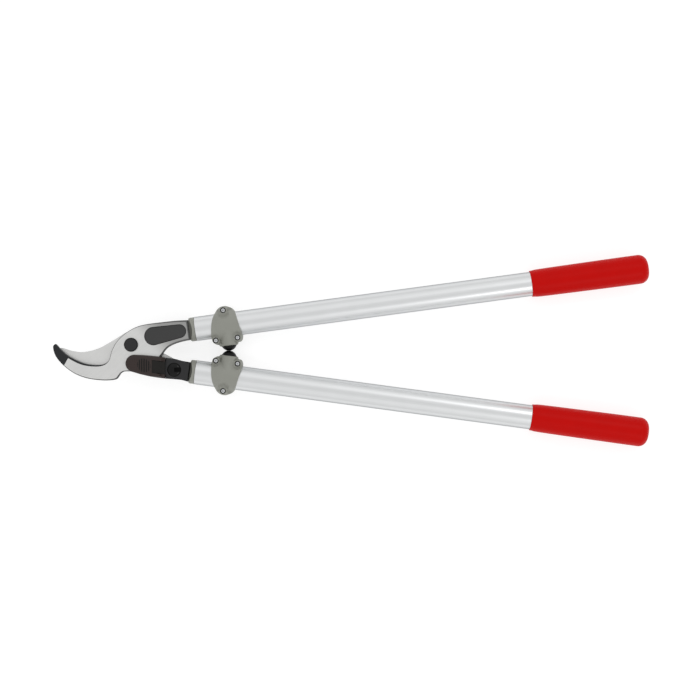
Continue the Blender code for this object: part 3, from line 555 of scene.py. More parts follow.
def sheet(work, outline, height, spacing, rims, holes=()):
    """A triangulated surface over an outline, raised to height(points, distances to the edge).

    Returns the ring round its outside and the ring round each round hole.
    """
    points, loops = list(outline), [range(len(outline))]
    for centre, radius in holes:
        loops.append(range(len(points), len(points) + HOLE_SIDES))
        points += circle(centre, radius, HOLE_SIDES)
        points += circle(centre, radius + 0.35, HOLE_SIDES)
    for rim in rims:
        points += resampled(inset(outline, rim), spacing * 1.1)
    xs, ys = zip(*outline)
    across = np.arange(min(xs), max(xs), spacing)
    up = np.arange(min(ys), max(ys), spacing)
    grid = np.array(np.meshgrid(across, up)).reshape(2, -1).T
    closed = [*outline, outline[0]]
    keep = inside(grid, outline) & (distances_to(grid, closed) > max(rims) + spacing * 0.6)
    for centre, radius in holes:
        keep &= np.hypot(*(grid - centre).T) > radius + 0.8
    points += [tuple(point) for point in grid[keep].tolist()]
    edges = [(first, second) for loop in loops
             for first, second in zip(loop, [*loop[1:], loop[0]])]
    flat, _, faces, origins, _, _ = delaunay_2d_cdt(
        [Vector(point) for point in points], edges, [], 1, 1e-4)
    flat = [tuple(point) for point in flat]
    heights = height(np.array(flat), distances_to(flat, closed))
    verts = [work.verts.new((x, y, float(z))) for (x, y), z in zip(flat, heights)]
    made = {}
    for index, sources in enumerate(origins):
        for source in sources:
            made[source] = verts[index]
    for face in faces:
        middle = np.mean([flat[index] for index in face], axis=0)
        if all(math.hypot(*(middle - centre)) > 0.99 * radius for centre, radius in holes):
            work.faces.new([verts[index] for index in face])
    return [[made[index] for index in loop] for loop in loops]


FINISH_SLOTS = 6                    # of a working mesh, so that faces keep their finishes


def placed(name, data):
    """A new object in the scene."""
    made = bpy.data.objects.new(name, data)
    bpy.context.scene.collection.objects.link(made)
    return made


def boolean(work, other, operation):
    """Turns the first mesh into the union, difference or intersection of the two."""
    objects = []
    for each in (work, other):
        bmesh.ops.recalc_face_normals(each, faces=each.faces)
        mesh = bpy.data.meshes.new("working")
        each.to_mesh(mesh)
        for _ in range(FINISH_SLOTS):
            mesh.materials.append(GROUND)
        objects.append(placed("working", mesh))
    change = objects[0].modifiers.new("boolean", "BOOLEAN")
    change.operation = operation
    change.solver = "MANIFOLD"
    change.object = objects[1]
    evaluated = objects[0].evaluated_get(bpy.context.evaluated_depsgraph_get())
    work.clear()
    work.from_mesh(evaluated.to_mesh())
    for item in objects:
        mesh = item.data
        bpy.data.objects.remove(item, do_unlink=True)
        bpy.data.meshes.remove(mesh)


# ---------------------------------------------------------------- making pieces

HEAD = Matrix.Translation(MAIN_PIVOT)


def handle_place(side, unit=1.0):
    """Where a handle's frame lies in the head's, without its mirroring."""
    x, y = on_handle(side, 0.0, 0.0)
    turn = Matrix.Rotation(SIDES[side] * TAPER, 4, "Z")
    return Matrix.Translation((x * unit, y * unit, 0.0)) @ turn


def piece(name, work, body, finishes, side=None, sharp=38.0):
    """Turns a mesh in millimetres into a finished piece that rides on a body."""
    if side == "lower":
        bmesh.ops.scale(work, vec=(1.0, -1.0, 1.0), verts=work.verts)
    bmesh.ops.scale(work, vec=(MM, MM, MM), verts=work.verts)
    bmesh.ops.recalc_face_normals(work, faces=work.faces)
    mesh = bpy.data.meshes.new(name)
    work.to_mesh(mesh)
    work.free()
    for each in finishes:
        mesh.materials.append(each)
    mesh.shade_smooth()
    mesh.set_sharp_from_angle(angle=math.radians(sharp))
    made = placed(name + "_detailed", mesh)
    made.matrix_world = HEAD @ handle_place(side, MM) if side else HEAD
    weighted = made.modifiers.new("face_weighted_normals", "WEIGHTED_NORMAL")
    weighted.keep_sharp = True
    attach(made, body)
    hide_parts(name)


def turn_to(work, axis, angle):
    bmesh.ops.rotate(work, cent=(0, 0, 0), matrix=Matrix.Rotation(math.radians(angle), 3, axis),
                     verts=work.verts)


def stub(side, start, end, top):
    """A length of the square bar that reaches into a tube, in the head's frame."""
    work = box((start, -STUB_WIDTH, -STUB_DEPTH), (end, STUB_WIDTH, top))
    for face in work.faces:
        face.material_index = 1
    work.transform(handle_place(side))
    return work


# ---------------------------------------------------------------- hook side

def edge_widths(bite, under):
    """How wide the front edge's slope is at each point of the hook's outline."""
    above = [x for x, _ in bite]
    widths = np.interp([-x for x in above], (30.0, 42.0, 55.0, 70.0, 88.0, 98.0),
                       (0.6, 1.9, 2.2, 2.7, 2.4, 0.7))
    widths += np.interp(above, (-10.0, 12.0, 60.0, 78.0), (0.0, 0.3, 1.3, 2.0))
    below = np.interp([x for x, _ in under], (-90.0, -30.0, -18.0, -12.0, 18.0, 30.0, 46.0, 74.0),
                      (0.9, 1.3, 1.7, 1.2, 1.2, 2.1, 1.9, 2.2))
    return widths.tolist() + below.tolist()


def coat_tip(work, finish):
    """Cuts the hook across at the end of its tip's coating, and coats what is beyond."""
    start, end = [Vector((*point, 0.0)) for point in COATED_TIP]
    normal = Vector((start.y - end.y, end.x - start.x, 0.0)).normalized()
    bmesh.ops.bisect_plane(work, geom=work.verts[:] + work.edges[:] + work.faces[:],
                           dist=1e-5, plane_co=start, plane_no=normal)
    for face in work.faces:
        if (face.calc_center_median() - start).dot(normal) > 0.0:
            face.material_index = finish


def hook_plate():
    """The hook and arm, ground on the face and forged at the sides, with painted shade on its
    rounded edges, and its stub.
    """
    side, coat, paint, edge_shade, shade_black = range(1, 6)    # in the list of finishes; the face is 0
    low_end, top_end = [on_handle("upper", COLLAR_START - GAP, across) for across in ARM_END]
    bite, under = spline([top_end, *BITE]), spline([*NOSE, low_end])
    outline = bite + under
    widths = edge_widths(bite, under)
    # Painted shade on the rounded front edges: the darkened forged finish, and the edge shade along
    # the arm; the bite by the tip is coated.
    edge_finishes = [coat if x < -33.0 else edge_shade if x > -8.0 else side for x, _ in bite]
    edge_finishes += [edge_shade if x > 52.0 else side for x, _ in under]
    work = bmesh.new()
    rear = [ring(work, inset(outline, step), SLIDE_GAP + drop)
            for step, drop in reversed(rounded(0.4, 2))]
    front = []
    steps = 4
    for step in range(steps + 1):
        turn = math.radians(90 * step / steps)
        insets = [width * (1 - math.cos(turn)) for width in widths]
        heights = [PLATE_TOP - min(width, 1.0) * (1 - math.sin(turn)) for width in widths]
        front.append(ring(work, inset(outline, insets), heights))
    for first, second in zip(rear, rear[1:] + front[:1]):
        skin(work, first, second, side)
    skin(work, front[0], front[1], [side if each == edge_shade else each for each in edge_finishes])
    for first, second in zip(front[1:], front[2:]):
        skin(work, first, second, edge_finishes)
    fronts, rears = drilled(work, [PIVOT_BORE, (LEVER_PIVOT, LEVER_SCREW_BORE)], PLATE_TOP,
                            SLIDE_GAP, side)
    # The pocket's floor is dark paint; its walls take the near-black of painted shade.
    recess = pocket(work, hull_of_circles(POCKET_ENDS), PLATE_TOP, POCKET_DEPTH, paint, shade_black, 0.55)
    cap(work, [front[-1], *fronts, recess])
    cap(work, [rear[0], *rears])
    coat_tip(work, coat)
    for start, end, top in ((-STUB_ROOT, COLLAR_START, STUB_ROOT_TOP),
                            (COLLAR_START - 0.4, STUB_LENGTH, STUB_DEPTH)):
        boolean(work, stub("upper", start, end, top), "UNION")
    piece("hook_plate", work, BODIES["upper"],
          [GROUND, FORGED_AND_SHADE, COATED, PAINTED, EDGE_SHADE, PAINTED_SHADE_BLACK])


# ---------------------------------------------------------------- blade side

def fork_outline():
    """The tail's end, from its upper prong round the roller's slot to its lower prong."""
    pin = math.hypot(*DRIVE_PIN)
    end = pin + FORK_LENGTH
    slot = ROLLER_RADIUS + ROLLER_SIDE_PLAY
    middle = pin - ROLLER_RADIUS - FORK_BOTTOM_PLAY + slot
    above, below = FORK_HALF_WIDTHS
    upper = arc((end - (above - slot), slot), above - slot, 90, 0, 8)
    lower = arc((end - (below - slot), -slot), below - slot, 0, -90, 8)
    bottom = arc((middle, 0.0), slot, 90, 270, 16)
    return [on_fork(*point) for point in upper + bottom + lower]


def blade():
    """The blade, hollow ground behind its edge, with its hub and forked tail."""
    plain = spline(BLADE_BACK) + fork_outline() + spline([*BLADE_EDGE, CUTTING_EDGE[0]])
    edge = spline(CUTTING_EDGE)
    outline = list(reversed(plain + edge))
    ramp = 14
    grind = [EDGE_BEVEL * min(1.0, index / ramp, (len(edge) - 1 - index) / ramp)
             for index in range(len(edge))]
    grinds = list(reversed([0.0] * len(plain) + grind))
    shares = [min(1.0, width / 2.0) for width in grinds]
    work = bmesh.new()
    rings = []
    depth = BLADE_FRONT - BLADE_REAR
    for share, drop in ((1.0, 0.0), (0.93, 0.16), (0.55, 0.55), (0.25, 0.8), (0.0, 0.91)):
        round_off = 0.35 * max(0.0, 1.0 - drop / 0.12)
        insets = [width * share + round_off * (1.0 - ground)
                  for width, ground in zip(grinds, shares)]
        rings.append(ring(work, inset(outline, insets), BLADE_REAR + depth * drop))
    for step, drop in rounded(0.45, 3):
        insets = [step * (1.0 - ground) for ground in shares]
        rings.append(ring(work, inset(outline, insets), BLADE_FRONT - drop * 0.8))
    for index, (first, second) in enumerate(zip(rings, rings[1:])):
        sides = [0 if width > 0.5 or index >= 6 else 1 for width in grinds]
        skin(work, first, second, sides)
    fronts, rears = drilled(work, [PIVOT_BORE, (LOCK_SCREW, LOCK_SCREW_BORE)], BLADE_FRONT,
                            BLADE_REAR)
    cap(work, [rings[-1], *fronts])
    cap(work, [rings[0], *rears])
    piece("blade", work, "blade_side", [GROUND, FORGED_AND_SHADE])


def pivot_bolt():
    """A low head with a dished face in front, and a chamfered thread behind."""
    head = BOLT_HEAD_RADIUS
    base = PLATE_TOP + GAP
    profile = [(0.0, BOLT_TOP - 0.25), (head - 2.2, BOLT_TOP - 0.2), (head - 1.7, BOLT_TOP)]
    profile += [(head - 1.0 + step, BOLT_TOP - 1.0 + rise) for step, rise in (
        (0.0, 1.0), (0.5, 0.87), (0.87, 0.5), (1.0, 0.0))]
    profile += [(head, base), (PIVOT_RADIUS, base)]
    thread = NUT_REAR + 1.2
    profile += [(PIVOT_RADIUS, thread)]
    while thread > BOLT_END + 0.8:
        profile += [(PIVOT_RADIUS - 0.45, thread - 0.35), (PIVOT_RADIUS, thread - 0.7)]
        thread -= 0.7
    profile += [(PIVOT_RADIUS - 1.0, BOLT_END), (0.0, BOLT_END)]
    work = lathe(profile)
    # The head's rim takes the near-black of painted shade, a painted shadow in the gap round the
    # head.
    for face in work.faces:
        face.material_index = int(face.calc_center_median().xy.length > head - 0.9)
    piece("pivot_bolt", work, "blade_side", [BLACKENED, PAINTED_SHADE_BLACK])


def pivot_washer():
    work = slab(circle((0, 0), 10.5, 64), WASHER_REAR, WASHER_TOP, 0.2, 0.25, bores=[PIVOT_BORE])
    piece("pivot_washer", work, "blade_side", [ZINC])


def pivot_nut():
    """A hexagon nut, with its corners turned off behind."""
    work = slab(resampled(hexagon((0, 0), NUT_ACROSS_FLATS), 1.45), NUT_REAR, NUT_TOP, 0.2, 0.2,
                bores=[PIVOT_BORE])
    rim = NUT_ACROSS_FLATS / 2 / math.cos(math.radians(30))
    chamfer = lathe([(0.0, NUT_TOP + 1.0), (rim + 1.0, NUT_TOP + 1.0), (rim + 1.0, NUT_REAR + 1.2),
                     (rim - 1.3, NUT_REAR), (0.0, NUT_REAR)])
    boolean(work, chamfer, "INTERSECT")
    piece("pivot_nut", work, "blade_side", [ZINC], sharp=25.0)


def lock_plate():
    """A disc with round notches for the lock screw, and a hexagon hole over the nut."""
    radius, notch, count = 15.0, 3.6, 8
    half = math.degrees(2 * math.asin(notch / 2 / radius))
    pitch = 360 / count
    outline = []
    for index in range(count):
        middle = 180 + pitch * index
        centre = arc((0, 0), radius, middle, middle, 1)[0]
        outline += arc(centre, notch, middle + 270 - half / 2, middle + 90 + half / 2, 12)
        outline += arc((0, 0), radius, middle + half, middle + pitch - half, 6)[1:-1]
    work = slab(outline, LOCK_REAR, LOCK_TOP, 0.2, 0.35)
    socket = slab(hexagon((0, 0), NUT_ACROSS_FLATS + 2 * GAP), NUT_REAR, LOCK_TOP + 1.0, 0.0, 0.0)
    boolean(work, socket, "DIFFERENCE")
    piece("lock_plate", work, "blade_side", [ZINC])


def lock_screw():
    """A slotted screw from behind, in one notch of the lock plate."""
    top, tail, seat = high("lock_screw").z, low("lock_screw").z, BLADE_REAR - GAP
    work = lathe([(0.0, top), (2.0, top), (2.0, seat), (3.3, seat), (3.3, tail + 0.6),
                  (3.1, tail + 0.2), (2.7, tail), (0.0, tail)], 40, LOCK_SCREW)
    x, y = LOCK_SCREW
    slot = slab([(x - 4.0, y - 0.5), (x + 4.0, y - 0.5), (x + 4.0, y + 0.5), (x - 4.0, y + 0.5)],
                tail - 1.0, tail + 1.1, 0.0, 0.0)
    boolean(work, slot, "DIFFERENCE")
    piece("lock_screw", work, "blade_side", [BLACKENED])


# ---------------------------------------------------------------- lever side

def cover_outline(end_x):
    """The cover, anticlockwise from the top of its open end."""
    top = spline([(end_x, LEVER_TOP[0][1]), *reversed(COVER_TOP)])
    round_end = arc(LEVER_PIVOT, COVER_END_RADIUS, 85, 262, 28)
    bottom = spline([*reversed(COVER_BOTTOM), (end_x, LEVER_BOTTOM[-1][1])])
    return top + round_end + bottom


def lever_outline(left):
    end = [on_handle("lower", COLLAR_START - GAP, across) for across in LEVER_END]
    below = spline([LEVER_BOTTOM[1], LEVER_BOTTOM[0], end[0]])
    above = spline([end[1], *reversed(LEVER_TOP)])
    return [*left, *below, *above]


def lever():
    """The blackened lever: a thin eye in front, and a deep tail that reaches into the tube."""
    neck = inset(cover_outline(LEVER_STEP_X), COVER_WALL + GAP)
    neck = [(x, y) for x, y in neck if x < LEVER_STEP_X - 1.5]
    neck = [(LEVER_STEP_X, neck[0][1]), *neck, (LEVER_STEP_X, neck[-1][1])]
    recess = circle(DRIVE_PIN, PIN_RECESS_RADIUS, 64)
    # The pin's recess, floor and walls, takes the near-black of painted shade.
    work = slab(lever_outline(neck), LEVER_BASE, LEVER_FACE, 0.5, 0.3,
                bores=[(LEVER_PIVOT, LEVER_EYE_RADIUS)], pockets=[(recess, 0.8, 1, 1)])
    front = arc(LEVER_PIVOT, LEVER_DEEP_RADIUS, 7, -24, 16)
    deep = slab(lever_outline([neck[0], *front, neck[-1]]), GAP,
                LEVER_FACE - LEVER_THICKNESS / 2, 0.3, 0.5)
    boolean(work, deep, "UNION")
    # The stub's faces take slot 1, the near-black of painted shade, inside the collar.
    boolean(work, stub("lower", COLLAR_START - 0.6, STUB_LENGTH, STUB_DEPTH), "UNION")
    piece("lever", work, BODIES["lower"], [BLACKENED, PAINTED_SHADE_BLACK])


def bump(values):
    """A smooth hill from 0 at 1 or more, to 1 at 0."""
    return np.clip(1.0 - values, 0.0, 1.0) ** 2 * (1.0 + 2.0 * np.clip(values, 0.0, 1.0))


def cover_middle(x):
    start, fall = COVER_MIDDLE
    return start - fall * x


def cover_height(points, edge):
    """The cover's front: rounded over, ribbed for the thumb, and let down towards the pin."""
    x, y = points.T
    rounding = 2.6
    short = np.clip(rounding - edge, 0.0, rounding)
    short = np.where(x > COVER_END_X - 0.05, 0.0, short)
    top = COVER_TOP_Z - 0.5
    z = top - (rounding - np.sqrt(rounding ** 2 - short ** 2)) * 0.9
    middle = cover_middle(np.clip(x, 0.0, 46.0))
    z -= 0.9 * ((y - middle) / 14.0) ** 2
    line = np.exp(-((edge - 2.4) / 0.3) ** 2) * np.clip((12.0 - x) / 6.0, 0.0, 1.0)
    z -= 0.28 * line
    oval = bump((np.hypot(x - RIBS_X, y - middle) / RIBS_RADIUS) ** 8)
    ribs = 0.5 - 0.5 * np.cos((x - RIBS_X) * 2 * math.pi / RIB_PITCH)
    z += oval * (0.75 * ribs - 0.3)
    ramp = np.minimum(x - 28.6, 8.4 - np.abs(y - middle))
    z -= 1.0 * np.clip(ramp / 0.8 + 0.5, 0.0, 1.0)
    for ear_x, ear_y in ((41.2, -19.9), (38.6, -40.6)):
        across = (y - ear_y) / 2.9
        ridge = bump(np.hypot((x - ear_x) / 6.2, across) ** 3)
        hollow = bump(np.hypot((x - ear_x - 2.6) / 3.6, (y - ear_y) / 1.5) ** 2)
        z += 1.1 * ridge - 1.5 * hollow
    return np.minimum(z, COVER_TOP_Z + 0.4)


def lever_cover():
    """The moulded plastic shell over the lever's eye, open towards the tube."""
    outline = resampled(cover_outline(COVER_END_X), 0.8, closed=False)
    outline += resampled([outline[-1], outline[0]], 0.8, closed=False)[1:-1]
    work = bmesh.new()
    front, = sheet(work, outline, cover_height, COVER_SPACING, (0.25, 0.6, 1.0, 1.5, 2.0, 2.4, 2.8))
    base = ring(work, outline, LEVER_BASE)
    skin(work, front, base)
    cap(work, [base])
    shell = inset(cover_outline(COVER_END_X + 3.0), COVER_WALL)
    room = slab(shell, LEVER_BASE - 1.0, COVER_TOP_Z - COVER_WALL - 0.6, 0.5, 0.0)
    boolean(work, room, "DIFFERENCE")
    screw_low, screw_high = low("lever_pivot_screw"), high("lever_pivot_screw")
    radius = (screw_high.x - screw_low.x) / 2 + 2 * GAP
    over_screw = lathe([(0.0, screw_high.z + GAP), (radius, screw_high.z + GAP),
                        (radius, LEVER_BASE - 1.0), (0.0, LEVER_BASE - 1.0)], 48, LEVER_PIVOT)
    boolean(work, over_screw, "DIFFERENCE")
    # Painted shade: faces in the rib grooves and in the pocket towards the pin take the darker
    # plastic.
    first_column = min(x for x, _ in outline)
    for face in work.faces:
        x, y, z = face.calc_center_median()
        across = abs(y - cover_middle(x))
        column = first_column + COVER_SPACING * (0.5 + (x - first_column) // COVER_SPACING)
        groove = (math.cos((column - RIBS_X) * 2 * math.pi / RIB_PITCH) > 0.0
                  and math.hypot(column - RIBS_X, across) < RIBS_RADIUS)
        outside = z > COVER_TOP_Z - 3.0 and face.normal.z > 0.3
        face.material_index = int(outside and (groove or x > 28.4 and across < 8.7))
    piece("lever_cover", work, BODIES["lower"], [COVER, COVER_SHADE], sharp=30.0)


def drive_pin():
    """The glossy domed pin head with its spanner notch, its shank and its clip groove."""
    base = LEVER_FACE + GAP
    head = DRIVE_HEAD_RADIUS
    shank, groove = PIN_RADIUS, PIN_GROOVE_RADIUS
    profile = [(0.0, PIN_TOP)]
    for step in range(1, 15):
        turn = math.radians(6 * step)
        profile.append((head * math.sin(turn), base + (PIN_TOP - base) * math.cos(turn)))
    profile += [(head, base + 0.15), (head - 0.2, base), (shank, base), (shank, CLIP_TOP + GAP),
                (groove, CLIP_TOP + GAP), (groove, CLIP_REAR - GAP), (shank, CLIP_REAR - GAP),
                (shank, PIN_END + 0.4), (shank - 0.4, PIN_END), (0.0, PIN_END)]
    work = lathe(profile)
    notch = box((0.4, -2.7, base + 0.4), (head + 3.0, 2.7, PIN_TOP + 3.0), 0.3)
    # The notch's faces take the near-black of painted shade, a painted shadow in the slot.
    for face in notch.faces:
        face.material_index = 1
    boolean(work, notch, "DIFFERENCE")
    bmesh.ops.translate(work, vec=(*DRIVE_PIN, 0.0), verts=work.verts)
    piece("drive_pin", work, BODIES["lower"], [GLOSS_BLACK, PAINTED_SHADE_BLACK], sharp=30.0)


def pin_clip():
    """An open spring clip in the pin's groove."""
    opening = 35
    outline = arc((0, 0), 5.0, opening, 360 - opening, 36)
    outline += arc((0, 0), 2.2, 360 - opening, opening, 24)
    work = slab(outline, CLIP_REAR, CLIP_TOP, 0.12, 0.12)
    bmesh.ops.translate(work, vec=(*DRIVE_PIN, 0.0), verts=work.verts)
    piece("pin_clip", work, BODIES["lower"], [ZINC])


def drive_roller():
    inner, outer = PIN_RADIUS + GAP, ROLLER_RADIUS
    front, rear = high("drive_roller").z, low("drive_roller").z
    work = lathe([(inner + 0.15, front), (outer - 0.3, front), (outer, front - 0.3),
                  (outer, rear + 0.3), (outer - 0.3, rear), (inner + 0.15, rear),
                  (inner, rear + 0.15), (inner, front - 0.15)], 48, DRIVE_PIN)
    piece("drive_roller", work, "roller", [ZINC])


# ---------------------------------------------------------------- handles

def turned(profile):
    """A round piece along a handle, from its radii and their places along it."""
    work = lathe(profile, 96)
    turn_to(work, "Y", 90)
    return work


def tube(side):
    outer, inner = TUBE_RADIUS, TUBE_RADIUS - TUBE_WALL
    profile = [(inner, 0.25), (inner + 0.25, 0.0), (outer - 0.25, 0.0), (outer, 0.25)]
    profile += [(outer, TUBE_LENGTH * step / 12) for step in range(1, 12)]
    profile += [(outer, TUBE_LENGTH), (inner, TUBE_LENGTH)]
    piece(side + "_tube", turned(profile), BODIES[side], [ANODISED], side)


def ferrule(side):
    """The collar, which slopes down to the steel in front and behind, and its spigot."""
    start, radius = COLLAR_START, COLLAR_RADIUS
    work = turned([(0.0, start), (radius - 2.4, start), (radius - 1.2, start + 0.3),
                   (radius - 0.3, start + 1.2), (radius, start + 2.4), (radius, -GAP - 0.3),
                   (radius - 0.3, -GAP), (SPIGOT_RADIUS, -GAP), (SPIGOT_RADIUS, SPIGOT_LENGTH),
                   (0.0, SPIGOT_LENGTH)])
    step, top = STUB_DEPTH + GAP, start + COLLAR_SLOPE
    rise = (radius - step) / COLLAR_SLOPE
    for face in (1, -1):
        wedge = bmesh.new()
        corners = [(start - 1.0, step - rise), (top + 1.0, step + rise * (COLLAR_SLOPE + 1)),
                   (start - 1.0, step + rise * (COLLAR_SLOPE + 1))]
        near = [wedge.verts.new((x, -30.0, face * z)) for x, z in corners]
        far = [wedge.verts.new((x, 30.0, face * z)) for x, z in corners]
        skin(wedge, near, far)
        wedge.faces.new(near)
        wedge.faces.new(far)
        boolean(work, wedge, "DIFFERENCE")
    bore = box((start - 5.0, -STUB_WIDTH - GAP, -step),
               (SPIGOT_LENGTH + 5.0, STUB_WIDTH + GAP, step))
    boolean(work, bore, "DIFFERENCE")
    # The slanted faces take the darker nylon as painted shade.
    for face in work.faces:
        place = face.calc_center_median()
        slanted = 0.2 < abs(face.normal.z) < 0.995 and -0.95 < face.normal.x < -0.2
        face.material_index = int(slanted and place.x > start + 0.1 and abs(place.z) > step)
    piece(side + "_ferrule", work, BODIES[side], [NYLON, NYLON_SHADE], side,
          sharp=25.0)


def grip(side):
    """The vinyl sleeve: a thin lip, a neck that swells out, and a round closed end."""
    bore = TUBE_RADIUS + GAP
    end = GRIP_END - GRIP_END_RADIUS
    round_end = arc((GRIP_RADIUS - GRIP_END_RADIUS, end), GRIP_END_RADIUS, 90, 0, 15)
    profile = [(0.0, GRIP_END), *round_end]
    body = [(GRIP_START, 17.1), (GRIP_START + 0.4, 17.5), (GRIP_START + 3.0, 17.75),
            (GRIP_START + 9.0, 18.4), (GRIP_START + 28.0, 18.75), (GRIP_START + 60.0, 19.05),
            (GRIP_START + 100.0, 19.35), (GRIP_START + 130.0, GRIP_RADIUS)]
    profile += [(radius, along) for along, radius in reversed(spline(body, 5))]
    profile += [(bore, GRIP_START), (bore, TUBE_LENGTH + GAP), (0.0, TUBE_LENGTH + GAP)]
    piece(side + "_grip", turned(profile), BODIES[side], [VINYL], side, sharp=50.0)


def bumper(side):
    """The rubber ball on its stem, with a skirt over the clamp, flattened at the middle line."""
    axis_height = TUBE_START[1] + BUMPER_X * math.sin(TAPER)
    centre = (axis_height - BUMPER_RADIUS - GAP / 2) / math.cos(TAPER) + BUMPER_SQUASH
    base = BUMPER_SEAT + BUMPER_LIFT
    ball = arc((0.0, centre), BUMPER_RADIUS, 90, 38, 16)
    stem, length = BUMPER_STEM
    tip = BUMPER_SEAT - length
    work = lathe([(0.0, ball[0][1]), *ball[1:], (BUMPER_SKIRT, base), (stem, base),
                  (stem, tip + 0.5), (stem - 0.5, tip), (0.0, tip)])
    turn_to(work, "X", 90)
    bmesh.ops.translate(work, vec=(BUMPER_X, 0.0, 0.0), verts=work.verts)
    for vert in work.verts:
        height = (TUBE_START[1] + vert.co.x * math.sin(TAPER) + vert.co.y * math.cos(TAPER))
        lift = max(0.0, BUMPER_FLAT - height)
        vert.co += lift * Vector((math.sin(TAPER), math.cos(TAPER), 0.0))
    piece(side + "_bumper", work, BODIES[side], [RUBBER], side)


def smooth_max(first, second, blend):
    overlap = np.clip(blend - np.abs(first - second), 0.0, blend) / blend
    return np.maximum(first, second) + overlap ** 2 * blend / 4


def root_of(values):
    return np.sqrt(np.clip(values, 0.0, None))


def clamp_height(points, edge):
    """The front of a clamp half: saddle, flanges, screw bosses and the bumper's socket."""
    x, y = points.T
    round_tube = root_of(CLAMP_SADDLE ** 2 - y ** 2)
    flat = CLAMP_HALF_DEPTH
    z = -smooth_max(-round_tube, np.full_like(x, -flat), 0.8)
    z = smooth_max(z, np.full_like(x, CLAMP_FLANGE), 3.0)
    crest = np.interp(-y, (0.0, 12.0, BUMPER_SEAT), (flat, flat - 0.9, SOCKET_RADIUS + 2.0))
    ridge = crest * root_of(1.0 - ((x - BUMPER_X) / SOCKET_RADIUS) ** 2) ** 0.7
    ridge = np.where(y < 4.0, ridge, 0.0)
    z = smooth_max(z, ridge, 0.5)
    radius, top = CLAMP_BOSS
    for centre_x, centre_y in CLAMP_SCREWS:
        away = np.hypot(x - centre_x, y - centre_y)
        boss = top - 2.4 * np.clip(away - radius + 0.5, 0.0, None)
        z = smooth_max(z, boss, 1.0)
        room = 7.4 if centre_y > 0 else 4.6
        z = np.minimum(z, top + 1.7 * np.clip(away - room, 0.0, None))
    rounding = 1.0
    short = np.clip(rounding - edge, 0.0, rounding)
    return np.minimum(z, flat) - (rounding - root_of(rounding ** 2 - short ** 2))


def clamp_floor(points, _):
    """The inside of a clamp half: the split face, the tube's bore and the bumper's stem."""
    x, y = points.T
    split = np.full_like(x, CLAMP_SPLIT)
    bore = root_of((TUBE_RADIUS + GAP) ** 2 - y ** 2)
    stem = root_of((BUMPER_STEM[0] + GAP) ** 2 - (x - BUMPER_X) ** 2)
    stem = np.where(y < -TUBE_RADIUS, stem, 0.0)
    return np.maximum(np.maximum(split, bore), stem)


def clamp_half(side, face, facing):
    """One moulded half of a stop clamp; the front half has the screws' counterbores."""
    near = [(x, radii * TUBE_RADIUS) for x, radii in CLAMP_NEAR]
    far = [(x, radii * TUBE_RADIUS) for x, radii in CLAMP_FAR]
    seat = [(x, -BUMPER_SEAT) for x in CLAMP_SEAT_X]
    outline = spline([*near, seat[0]]) + spline([seat[1], *far, near[0]])[:-1]
    outline = resampled(outline, 0.9)
    narrow = SCREW_RADIUS + GAP
    wide, floor = COUNTERBORE
    work = bmesh.new()
    front_holes = [(centre, wide) for centre in CLAMP_SCREWS] if facing > 0 else []
    front, *rims = sheet(work, outline, clamp_height, 0.95, (0.12, 0.4, 1.0), front_holes)
    rear, *bores = sheet(work, outline, clamp_floor, 1.6, (1.2,),
                         [(centre, narrow) for centre in CLAMP_SCREWS])
    skin(work, front, rear)
    for index, (centre, bore) in enumerate(zip(CLAMP_SCREWS, bores)):
        # The counterbores' walls, floors and mouths take the near-black of painted shade.
        if facing > 0:
            seat_ring = ring(work, circle(centre, wide, HOLE_SIDES), floor)
            mouth = ring(work, circle(centre, narrow, HOLE_SIDES), floor)
            skin(work, rims[index], seat_ring, 1)
            skin(work, seat_ring, mouth, 1)
            skin(work, mouth, bore, 1)
        else:
            blind = ring(work, circle(centre, narrow, HOLE_SIDES), SCREW_REACH + GAP)
            skin(work, bore, blind)
            cap(work, [blind])
    bmesh.ops.scale(work, vec=(1.0, 1.0, facing), verts=work.verts)
    name = f"{side}_clamp_{face}"
    piece(name, work, BODIES[side], [NYLON, PAINTED_SHADE_BLACK], side, sharp=40.0)


def clamp_screw(side, number, centre):
    """A cap screw with a hexagon socket and a knurled head."""
    radius, height = SCREW_HEAD
    base = COUNTERBORE[1] + GAP
    ridges, grooves = circle(centre, radius, 72), circle(centre, radius - 0.1, 72)
    knurled = [point for pair in zip(ridges[::2], grooves[1::2]) for point in pair]
    socket = resampled(hexagon(centre, 2.2), 0.5)
    # The zinc head's sides and its socket's walls take the blackened finish as painted shade, the
    # dark ring round the bright top.
    work = slab(knurled, base, base + height, 0.75, 0.1, pockets=[(socket, 1.2, 0, 1)],
                side_finish=1)
    shank = lathe([(0.0, base + 0.5), (SCREW_RADIUS, base + 0.5),
                   (SCREW_RADIUS, 0.5 - SCREW_REACH), (SCREW_RADIUS - 0.5, -SCREW_REACH),
                   (0.0, -SCREW_REACH)], 24, centre)
    boolean(work, shank, "UNION")
    piece(f"{side}_clamp_screw_{number}", work, BODIES[side],
          [ZINC, BLACKENED], side, sharp=30.0)


def refinish(node, finish):
    """A better material on a CAD node that stays in view."""
    mesh = frame["nodes"][node].data
    mesh.materials.clear()
    mesh.materials.append(finish)


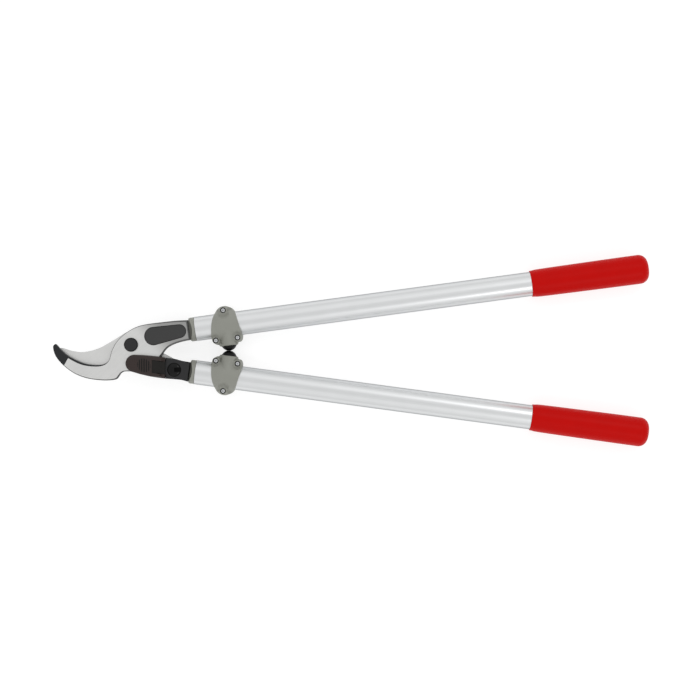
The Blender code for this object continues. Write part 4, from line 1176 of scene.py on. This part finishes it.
hook_plate()
blade()
pivot_bolt()
pivot_washer()
pivot_nut()
lock_plate()
lock_screw()
lever()
lever_cover()
drive_pin()
pin_clip()
drive_roller()
for each_side in SIDES:
    tube(each_side)
    ferrule(each_side)
    grip(each_side)
    bumper(each_side)
    clamp_half(each_side, "front", 1)
    clamp_half(each_side, "rear", -1)
    for screw_number, screw_centre in enumerate(CLAMP_SCREWS, 1):
        clamp_screw(each_side, screw_number, screw_centre)
refinish("lever_pivot_screw", BLACKENED)
refinish("lever_bush", BRONZE)


# ---------------------------------------------------------------- studio

def floor():
    """A plain pale floor that gives back a little light of its own."""
    work = bmesh.new()
    bmesh.ops.create_circle(work, cap_ends=True, segments=64, radius=9.0)
    mesh = bpy.data.meshes.new("floor")
    work.to_mesh(mesh)
    work.free()
    made = placed("floor", mesh)
    made.location.z = cad_box[0].z
    finish = bpy.data.materials.new("pale_floor")
    finish.use_nodes = True
    set_inputs(finish.node_tree.nodes["Principled BSDF"], Base_Color=(0.35, 0.35, 0.35, 1.0),
               Roughness=0.9, Specular_IOR_Level=0.0, Emission_Color=(1.0, 1.0, 1.0, 1.0),
               Emission_Strength=0.74)
    mesh.materials.append(finish)


def softbox(name, place, size, power):
    light = bpy.data.lights.new(name, "AREA")
    light.shape = "RECTANGLE"
    light.size, light.size_y = size
    light.energy = power
    made = placed(name, light)
    made.location = place
    made.rotation_mode = "QUATERNION"
    made.rotation_quaternion = Vector(place).to_track_quat("Z", "Y")
    made.visible_camera = False


def studio():
    floor()
    scene = bpy.context.scene
    world = bpy.data.worlds.new("studio")
    world.use_nodes = True
    set_inputs(world.node_tree.nodes["Background"], Color=(1.0, 1.0, 1.0, 1.0), Strength=0.84)
    scene.world = world
    softbox("softbox_front", (0.0, -2.1, 2.0), (3.2, 2.3), 2.9)
    softbox("softbox_back", (0.0, 1.9, 2.1), (3.2, 2.3), 3.7)
    softbox("glint_back", (1.0, 1.27, 1.87), (0.22, 0.22), 4.5)
    softbox("glint_front", (1.0, -1.35, 1.8), (0.22, 0.22), 4.5)
    scene.view_settings.view_transform = "Standard"

    camera = bpy.data.cameras.new("camera")
    camera.lens = 91.95
    camera.sensor_width = 36.0
    made = placed("camera", camera)
    made.location = (-0.0017, 0.0008, 2.4195)
    scene.camera = made


studio()
